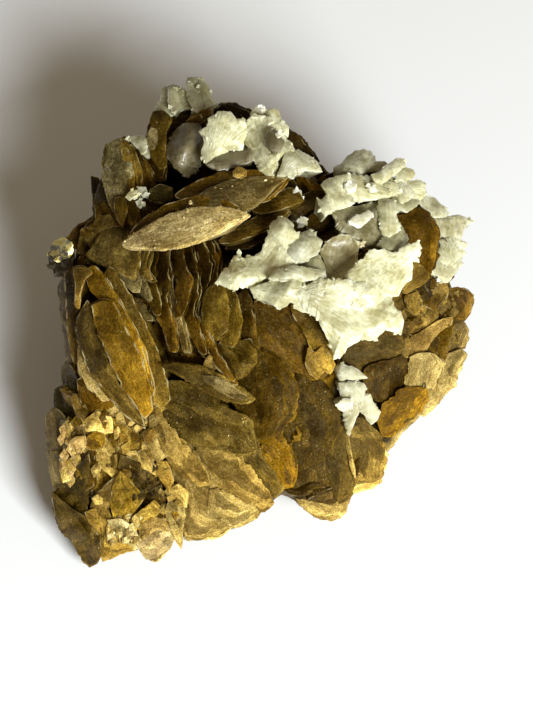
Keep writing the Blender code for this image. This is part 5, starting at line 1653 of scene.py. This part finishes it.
def rings_of_blades(rings, seed, tone_step, *sizes):
    """Blades on rings round the flank: each ring has a share, a first bearing and a count."""
    draw = random.Random(seed).uniform
    made = []
    for share, first, count in rings:
        for index in range(count):
            bearing = first + 360.0 * index / count + draw(-BEARING_JITTER, BEARING_JITTER)
            place = share + draw(-SHARE_JITTER, SHARE_JITTER)
            tone = FLANK_TONES[len(made) * tone_step % len(FLANK_TONES)]
            made.append(flank_blade(draw, bearing, place, tone, *sizes))
    return made


large = rings_of_blades(FLANK_RINGS, SEED, 1, (0.2, 1.2), 22, (10, 15), (6, 9), (2.4, 3.6))
small = rings_of_blades(SMALL_RINGS, SEED + 1, 3, (-0.4, 0.9), 34, (5, 10), (3, 6), (1.2, 2.4))
siderite_mesh("flank_blades", large)
siderite_mesh("flank_shingles", small)

# %% [markdown]
# ## Dolomite petals
#
# Saddle dolomite grows as curved rhombs stacked out of true, so a petal curls up at its tips, down
# at its sides, and ends in a ragged edge.  Small rhombs sown along the rim break the edge further.

# %% Petals with crystals sown on them
def petals(name, plates, slot="dolomite", size=(0.25, 0.7), finish=None, style=PETAL, node=None):
    """One named piece from a table of dolomite plates, with rhombs sown on each."""
    made = []
    for plate in plates:
        petal = face_plate(plate, style)
        made += [petal, sown_rhombs(petal, size)]
    make_piece(name, join(made), finish or dolomite, slot, node or name)


# %% [markdown]
# ## Petals of the upper side
#
# A row of petals stands along the upper rim, with a shaded leaf behind it and a small wedge.

# %% Petals of the upper side
# The grey_white rows are painted shade on the same cream-white dolomite.
PEAK_PETALS = plate_rows("""
green_white 1.6 0.1 0 5: -17.2 33.7, -16.9 35.2, -16.5 36.7, -15.4 38.2, -14.2 38.5, -12.6 38,
    -11.8 36.7, -11.1 34.9, -12.9 34.2, -14.4 33.5, -16.5 33
green_white 1.4 0 0 5: -12.1 38.8, -11.6 39.6, -10.5 39.8, -9.5 39.6, -8.8 38.5, -8.5 37.5,
    -7.7 36.2, -7.1 35.2, -8.2 34.1, -9 32.9, -10.2 32.5, -11.4 34.5, -12 36.7
grey_white 2.6 -0.3 0 4: -12.3 38.3, -11.5 39, -10.6 37.8, -9.2 34.9, -9.6 33.1, -11 34.6, -12 36.6
green_white 2.3 0.3 0 4: -10.2 39.2, -9.3 38.8, -8.6 36.8, -7.6 35.4, -8.8 34.6, -9.8 36.4
grey_white 2.6 -0.3 0 4: -15 38, -13.9 38.2, -13.2 36.4, -13.4 34.4, -14.4 33.9, -15 35.6
""")
SHADED_PETALS = plate_rows("""
shade_grey 2 -0.2 0.1 7: -14.4 30.3, -13.3 31.8, -11.9 32.4, -10 32.2, -9.6 30.5, -9.3 29.4,
    -9.6 27.6, -9.3 26.1, -10.2 24.8, -11.9 23.7, -13.3 24.6, -14.6 26.1, -15.4 27.4, -15.4 28.7
""")
WEDGE_PETALS = plate_rows("""
pale_wedge 3.6 0 0 5: -21.5 30, -20 30.3, -18.5 30.2, -18.4 27.8, -19.2 27.3, -20.2 28.6
""")
# The bright rows are painted highlights, and grey_white is painted shade on the same dolomite.
UPPER_PETALS = plate_rows("""
white_lit 7 0.05 0.5 3: -10.3 30.9, -9.3 31.8, -8.2 33.3, -7.1 34.2, -5.8 34.3, -4.7 33.9, -5 32.4,
    -3.9 33, -3.1 33, -2.5 32.2, -2.4 30.9, -2.8 29.2, -3.4 28.1, -5.1 27.8, -6.3 27.2, -7.4 26.6,
    -8.9 25.6, -9.7 26.7, -9.8 27.8, -9.1 29.1, -9.3 30
shade_grey 5 0 0.2 4: -9 25.6, -7.2 27.4, -4 28.4, -1.8 28.4, -1.2 26.4, -4.6 25.2, -7 24.8
white 7.8 0.1 0.5 4: -2.4 32.7, -1.8 33.5, -0.3 33.6, 1.2 33.4, 2.3 32.7, 3.6 30.6, 4.5 29,
    5.2 28.1, 4.1 27.8, 2.8 26.5, 2.3 24.6, 1.9 23.7, 0.5 23.8, -0.5 24.8, -1.3 26.3, -1.9 27.6,
    -2.6 29, -2.7 30.9
shade_grey 9.2 0.1 0.4 3: 0.2 30.6, 1.2 31.5, 2.6 31, 3.6 29.4, 2.9 27.9, 1.8 27.4, 0.8 28.4
bright 9.6 0.1 0.4 3: 1.6 30.6, 2.4 31, 3.1 30.2, 2.4 29.6
bright 8.2 0.2 0.5 3: -1.8 34, -1.2 34.9, 0.3 34.7, 0.1 33.8, -1.4 33.4
white 7.4 0.1 0.5 3.6: 0.3 34.4, 1.5 34.6, 2.5 34.3, 2.8 33.5, 3.6 32.5, 4.3 31.8, 4.2 30.1,
    3.2 30.5, 2.3 32.3, 0.8 33.2
grey_white 6.6 -0.2 0.3 4: 3.9 27.9, 5.6 27.9, 6.7 27.6, 7.6 27.2, 8.5 26.3, 9.1 25.6, 9.7 24.5,
    8.8 24.5, 7.2 24.8, 6 24.1, 4.9 23.4, 3.9 23.7, 2.3 23.8, 2.8 25, 3.4 26.5
""")
petals("dolomite_upper_left_petals", PEAK_PETALS)
petals("dolomite_shaded_leaf", SHADED_PETALS, "dolomite_grey")
petals("dolomite_small_wedge", WEDGE_PETALS)
petals("dolomite_upper_petals", UPPER_PETALS)

# %% [markdown]
# ## The great dolomite growth
#
# The middle and the right carry one continuous growth of petals.  The widest, a long slab that
# rises to the right, hides the siderite behind it.

# %% Petals of the middle and the right
# The cream_grey row, set lower than the rest, is painted shade, and cream_white a little too.
GREAT_PETALS = plate_rows("""
white 7.2 0 0 3.6: -7.4 6.9, -6.4 8.4, -5.1 9.9, -4.5 10.8, -3.5 11.3, -3.1 10.6, -2.1 11.5,
    -1.7 10.8, -0.3 11.6, 0.4 12.7, 0.7 14.1, 1 15.4, 1.7 16.5, 2.8 17.3, 3.8 17.2, 4.8 16.5,
    5.1 16.1, 5 15.5, 6 14.3, 6.4 12, 5.7 10, 3.6 8.6, 1 7.5, -0.4 6.7, -2 6.1, -3 5.6, -4.7 5.8,
    -6.4 6.3
blue_white 7.4 0.1 0 3.4: 5.2 15, 6 14.5, 6.8 15, 7.6 15.3, 8.5 14.5, 9.3 13.7, 9.7 12.9, 8.7 11.3,
    7.2 10.2, 5.4 9.8, 4.2 11.4, 4.2 13.4
cream_grey 5.4 0 0.1 3.4: -2 6.4, 0 7.4, 3 9, 6 10.4, 9 11.4, 10.4 8.6, 7 7, 2 6
cream_white 8 0 0.1 3.6: -2 5.9, -1.1 4.2, 0 4, 1.4 3.4, 3 2.7, 3.9 3, 4.5 3.5, 5.3 3.2, 5.7 2.5,
    6.8 2, 8.3 1.4, 10.6 2.6, 10.8 6, 7.6 7.3, 4 7.3, 1.7 7.1, 0.3 6.6
white 8.5 0 0.1 4: 5.4 5.2, 7 2.2, 8.3 1.4, 8.9 0.6, 9.6 -0.3, 10.2 -1.6, 10.8 -2.9, 11.3 -4.2,
    11.5 -5.5, 12.5 -5.4, 13.3 -4.6, 13.4 -3.8, 14.2 -3.2, 15.2 -2.7, 16 -2.3, 17.3 -2.5, 18 -2.4,
    19.3 -1.3, 19.4 -0.5, 21.1 -1.2, 22.2 -1.5, 22.6 -0.3, 22.5 1.1, 21.9 2.4, 21.1 3.2, 20.4 5.2,
    17 6.6, 12.9 7.3, 9.2 7.4
white 9 0 0.05 4: 10.2 6.6, 10.8 7.1, 12.9 7.2, 13.6 8.2, 14.6 9.2, 15.8 10.6, 17 11.5, 17.9 12.1,
    19.7 12.1, 21.6 11.5, 22.1 12.1, 23.3 12.7, 24.2 13.2, 25 13.4, 25.4 12.8, 25.3 11.5,
    24.8 10.4, 24.2 10.1, 24.1 8.8, 23.5 7.1, 22.5 5.7, 20.9 4.4, 18 3.2, 13.4 3.6
blue_white 8.8 0 -0.3 3: 0.9 7.5, 1.9 8.4, 3.2 9.1, 4.6 9.3, 6.1 9.6, 7.6 9.2, 8.9 8.8, 10.1 8.7,
    10.2 7.3, 7.6 7.1, 5.7 7, 3.8 7.1, 1.7 7
""")
# The tan_white, throat_tan and cream_grey rows are painted shade in the bowl and the hollow
# under the brow, and the bright row is a painted highlight.
BOWL_PETALS = plate_rows("""
tan_white 5.6 0.25 0.15 4: 9.2 11.7, 10.1 12.8, 11.1 13.9, 12.5 14.4, 14.1 14.3, 15 13.5,
    16.4 13.1, 15.5 12.3, 15.4 11.1, 15.1 9.9, 14.3 8.5, 12.9 7.3, 10.8 7.1, 10.3 7.6, 10.4 9,
    9.9 10.4
throat_tan 4.6 -0.1 0.2 5: 11.2 18.1, 14 18.9, 17.2 19.4, 19.1 20, 20.5 20.3, 21.4 18.6, 21.2 16.7,
    22.1 16.1, 22.5 14.9, 23.3 14.7, 23.2 13.4, 22.8 12.2, 21.2 11.4, 19.7 11.8, 17.2 12,
    15.5 12.6, 12.9 14, 11.8 16
cream_grey 5.6 0.1 0 4: 20.4 14.8, 21.6 16, 22.4 15.9, 22.8 14.7, 23.3 13.7, 22.9 12.3, 21.9 11.5,
    19.6 11.6, 18.6 12.6, 19.2 14
bright 6.7 -0.2 0.2 3: 13.7 16.6, 15.3 17.6, 17 18.4, 17.9 17.8, 17 16.6, 15.5 15.5
cream_white 6.4 0.1 0 4: 18.6 19.8, 20.4 20.2, 21.6 19.4, 21.5 17.2, 22.2 16, 21.6 14.8, 20.4 14,
    19.2 14.6, 18.8 16
""")
# Lower layers are painted greyer as shade (grey_white, cream_white and cream_grey under white),
# and the bright rows are painted highlights.
BROW_PETALS = plate_rows("""
grey_white 3.4 0 0.1 5: 11.5 25.1, 12.7 25.7, 13.6 26.9, 15 27.9, 16.4 28, 17.5 27.7, 18.2 26.9,
    17.9 26.2, 19.6 26.2, 20.1 25.8, 18.1 24.6, 16 24, 13.9 23.6, 11.7 23.8
cream_white 4.4 -0.2 0.1 4: 22.4 23.1, 23.6 22.9, 24.9 23.4, 25.7 23, 26.1 22, 26.4 21, 25.4 20.1,
    24 20.1, 22.6 20.6, 21.6 21.2, 21.4 22.2
cream_white 5 -0.2 0.1 4: 21.4 23.9, 21.9 24.7, 23.1 25.2, 24.2 24.8, 24.6 24.1, 24 23.4, 22.6 23,
    21.4 23
white 6.2 -0.1 0.1 4: 17.4 24.1, 18.8 24.6, 20.2 25.7, 21.4 26.5, 22.4 26.7, 23 25.9, 22.9 25.3,
    21.9 24.7, 20.9 23.8, 19.8 22.9, 18.8 22.5, 18 23
cream_grey 4.2 -0.1 0 4: 20.7 20.8, 22.6 20.9, 24.3 20.3, 25.2 19.8, 24.7 18.9, 23.3 18, 22.4 18.3,
    21.4 18.6, 20.7 19.6
cream_white 5.4 0.1 0.2 4: 18.2 22, 19.6 22.9, 21.6 22.6, 22.2 21.4, 21 20.5, 19.2 21
grey_white 4.8 0 0.15 4: 16.2 23.8, 18.6 24, 21.2 23.6, 23.4 22.4, 24.4 20.6, 22.6 19.6, 20.4 20,
    17.6 20.6, 15.2 21.6
cream_white 6 0.1 0.2 4: 13.6 24.2, 16 23.7, 17.6 22.9, 19.2 22.2, 20.8 21.3, 20.5 20.4, 18.4 20.1,
    16.4 19.8, 14.4 19.6, 12.8 20.6, 12.4 22.4
white 7.2 0.1 0.15 4: 9.5 22.4, 10.5 23.3, 12.4 23.9, 14 24.2, 14.6 22.8, 14.2 21.2, 15 19.6,
    12.9 18.7, 11.2 18.3, 10.9 19.4, 10.4 20.6, 9.9 21.4
bright 7.9 0.2 0.2 3: 13.2 22.2, 14.2 23, 15.2 22.6, 15 21.4, 13.8 21.2
bright 7 0.2 0.2 3: 16.8 22.4, 18 22.2, 18.6 21.4, 17.4 21.2
white 7.4 0.2 0 4: 8.7 20.5, 9.4 20, 10.2 20.7, 10.9 19.6, 11.3 18.4, 10.1 17.5, 9.4 18.4, 9 19.4
""")
# The grey_white and cream_white rows are painted shade on the same cream-white dolomite.
EDGE_PETALS = plate_rows("""
grey_white 2.6 -0.1 0.1 5: 25.2 20.1, 26.1 20.7, 27.3 20.5, 28.5 19.4, 29.4 18.6, 29.9 17.7, 29 17,
    27.6 17, 26.4 18, 25.4 19.1
cream_white 3.2 0.2 0 4: 28.4 13.6, 30 14, 31.6 12.6, 31.4 10.6, 30 9.4, 28.4 10.2, 28 12
white_tan 2.4 0.1 0 4: 27.2 10, 29 9.8, 30.6 8.4, 29.8 6.8, 28.5 6.7, 27.6 7.8
white_tan 2.8 -0.1 0 5: 27.5 17, 29.7 17.4, 31.4 17.7, 32.5 17.3, 33.4 16.8, 34 16.5, 32.7 16,
    32.3 14.9, 31.8 13.7, 32.7 13.1, 32.5 12.1, 32.7 11.4, 32 10.6, 32.3 9.9, 31.4 9.2, 30.4 7.5,
    29.7 6.8, 28.5 6.9, 28 8, 26.9 8, 27.3 9.4, 27.6 11.3, 28 13.2, 27.9 14.9
""")
# The grey_white and grey_cream rows are painted shade, and the bright row is a painted highlight.
LOW_PETALS = plate_rows("""
grey_white 4.2 0.1 0 4: 12.2 -9.2, 14.2 -8.9, 15.8 -9.2, 16.6 -10.2, 16.2 -12, 14.6 -12.8,
    13.2 -12.2, 12.4 -10.8
grey_cream 3.6 0.1 0 4: 13 -12, 14.8 -12, 15.8 -13.4, 14.9 -15.2, 14.1 -17.4, 13.4 -16.6,
    12.9 -14.4
grey_cream 3.4 0 0 4: 15.8 -10.7, 17.3 -11.1, 17.6 -12.3, 18.6 -13.3, 19.1 -13.8, 18.6 -15,
    17.5 -16, 16.7 -15, 15.7 -13.6, 15.5 -12.4
grey_white 5 0.2 0.1 3.4: 11.8 -6.7, 12.8 -6.1, 13.4 -6.5, 14.4 -6.6, 15.7 -7.5, 17 -8.5,
    15.5 -8.7, 13.8 -8.7, 12.4 -9, 12 -7.8
bright 5.4 0.1 0.1 3: 11.8 -12.7, 13.2 -11.7, 14.6 -12.1, 14.4 -13.1, 13.2 -13.9, 12.3 -13.5
""")
# The bowl's thin rim is painted lighter still, as if light came through it.
CUP = PETAL._replace(crown=-0.26, saddle=0.0, warp=0.2, glow=0.6)
petals("dolomite_right_petals", GREAT_PETALS + BOWL_PETALS[1:] + BROW_PETALS)
petals("dolomite_right_bowl", BOWL_PETALS[:1], style=CUP, node="dolomite_right_petals")
petals("dolomite_edge_petals", EDGE_PETALS)
petals("dolomite_lower_petals", LOW_PETALS)

# %% [markdown]
# ## Strays
#
# A few tiny rhombs stand alone among the blades, and one brassy grain sits at the left edge.

# %% Small crystals and the brassy grain
STRAY_STYLE = PETAL._replace(spacing=0.16, roundness=0.1, teeth=0.05, wander=0.03, saddle=0.0)
# The bright rows are painted as white as a glint.
STRAY_CRYSTALS = plate_rows("""
pale_yellow 4 0 0.1 2.4: -21.9 20.5, -21.2 21.3, -19.8 21.7, -19.8 20.9, -21.2 19.9
pale_wedge 4.2 0 0.1 2.4: -20.1 22.2, -18.6 22, -18.4 20.9, -19 20.4, -19.6 21.3
pale_wedge 4 0 0.1 2.4: -20.3 19.8, -19.4 20, -18.9 19.1, -19.8 18.8
bright 3.4 0 0.1 2.4: 4.8 21.2, 5.4 21.7, 6.3 21.5, 6.4 20.3, 5.6 19.9, 4.9 20.5
bright 3.4 0 0.1 2.4: 5.7 16.9, 6.6 17.3, 7.5 17, 6.9 16.3, 6 16.3
""")
# The lower plate, dark at the grain's foot, is partly tarnished metal and partly painted shade.
BRASSY_GRAIN = plate_rows("""
brass 2.2 -0.2 0.2 4: -33.9 11.3, -33.2 13.4, -31.9 14.2, -30.6 13.2, -30.3 11.7, -31.4 10.7,
    -32.8 10.5
tarnish 0.9 -0.1 0.2 4: -34.2 11.6, -33.8 9.6, -32.8 7.9, -31.5 7.6, -30.5 9.2, -30.1 11.4,
    -32 12.4
""")
for name, start, end in (("small_crystal_left", 0, 1), ("small_crystal_middle", 1, 3),
                         ("small_crystal_hollow", 3, 4), ("small_crystal_ledge", 4, 5)):
    petals(name, STRAY_CRYSTALS[start:end], style=STRAY_STYLE)
petals("brassy_grain", BRASSY_GRAIN, "brassy_sulphide", (0.4, 1.1), brassy, STEPPED)

# %% [markdown]
# ## Table
#
# The specimen lies on a pale table, a plain square that is only part of the stage.

# %% Table
TABLE_SIZE = 1.5          # metres
TABLE_TONE = (0.92, 0.93, 0.94, 1)


def table_top():
    """A square about the origin, one half size each way."""
    half = TABLE_SIZE / 2
    corners = [(-half, -half, 0), (half, -half, 0), (half, half, 0), (-half, half, 0)]
    mesh = bpy.data.meshes.new("table_top")
    mesh.from_pydata(corners, [], [(0, 1, 2, 3)])
    finish = Finish("table_paint")
    finish.set(Base_Color=TABLE_TONE, Roughness=0.9)
    mesh.materials.append(finish.material)
    top = bpy.data.objects.new("table_top", mesh)
    bpy.context.scene.collection.objects.link(top)


table_top()
print("table", TABLE_SIZE, "m wide")

# %% [markdown]
# ## Light
#
# A broad soft lamp on the right, low enough to draw a long shadow to the left, and a weak warm
# light from all round, which keeps the shaded crystals brown rather than black.

# %% Light
LAMP_PLACE = (0.30, -0.55, 0.46)      # metres
LAMP_SIZE, LAMP_POWER = 0.29, 9.8
LAMP_COLOUR = (0.95, 0.99, 1.0)
WORLD_COLOUR = (1.0, 0.82, 0.58, 1)
WORLD_STRENGTH = 0.20
light = bpy.data.lights.new("window_light", "AREA")
light.size = LAMP_SIZE
light.energy = LAMP_POWER
light.color = LAMP_COLOUR
lamp = bpy.data.objects.new("window_light", light)
lamp.location = LAMP_PLACE
lamp.rotation_euler = Vector(LAMP_PLACE).to_track_quat("Z", "Y").to_euler()
bpy.context.scene.collection.objects.link(lamp)
world = bpy.data.worlds.new("studio")
world.use_nodes = True
background = world.node_tree.nodes["Background"]
background.inputs["Color"].default_value = WORLD_COLOUR
background.inputs["Strength"].default_value = WORLD_STRENGTH
bpy.context.scene.world = world
bpy.context.scene.view_settings.view_transform = "Standard"

print("lamp", round(Vector(LAMP_PLACE).length, 2), "m from the specimen")

# %% [markdown]
# ## Camera
#
# The camera looks straight at the face from half a metre.  Its lens follows from how much of the
# face's plane the picture takes in.

# %% Camera
VIEW_DISTANCE = 0.5
VIEW_HEIGHT = 0.1138      # metres of the face's plane from the picture's foot to its top
VIEW_CENTRE = np.array([0.72, -4.88, 0.0])
SENSOR = 24.0
camera = bpy.data.cameras.new("camera")
camera.sensor_fit = "VERTICAL"
camera.sensor_height = SENSOR
camera.lens = VIEW_DISTANCE * SENSOR / VIEW_HEIGHT
eye = bpy.data.objects.new("camera", camera)
back = Vector(FACE_AXES[2])
eye.location = Vector(face_to_world(VIEW_CENTRE) * MM) + VIEW_DISTANCE * back
eye.rotation_euler = back.to_track_quat("Z", "Y").to_euler()
bpy.context.scene.collection.objects.link(eye)
bpy.context.scene.camera = eye
print("lens", round(camera.lens, 1), "mm")
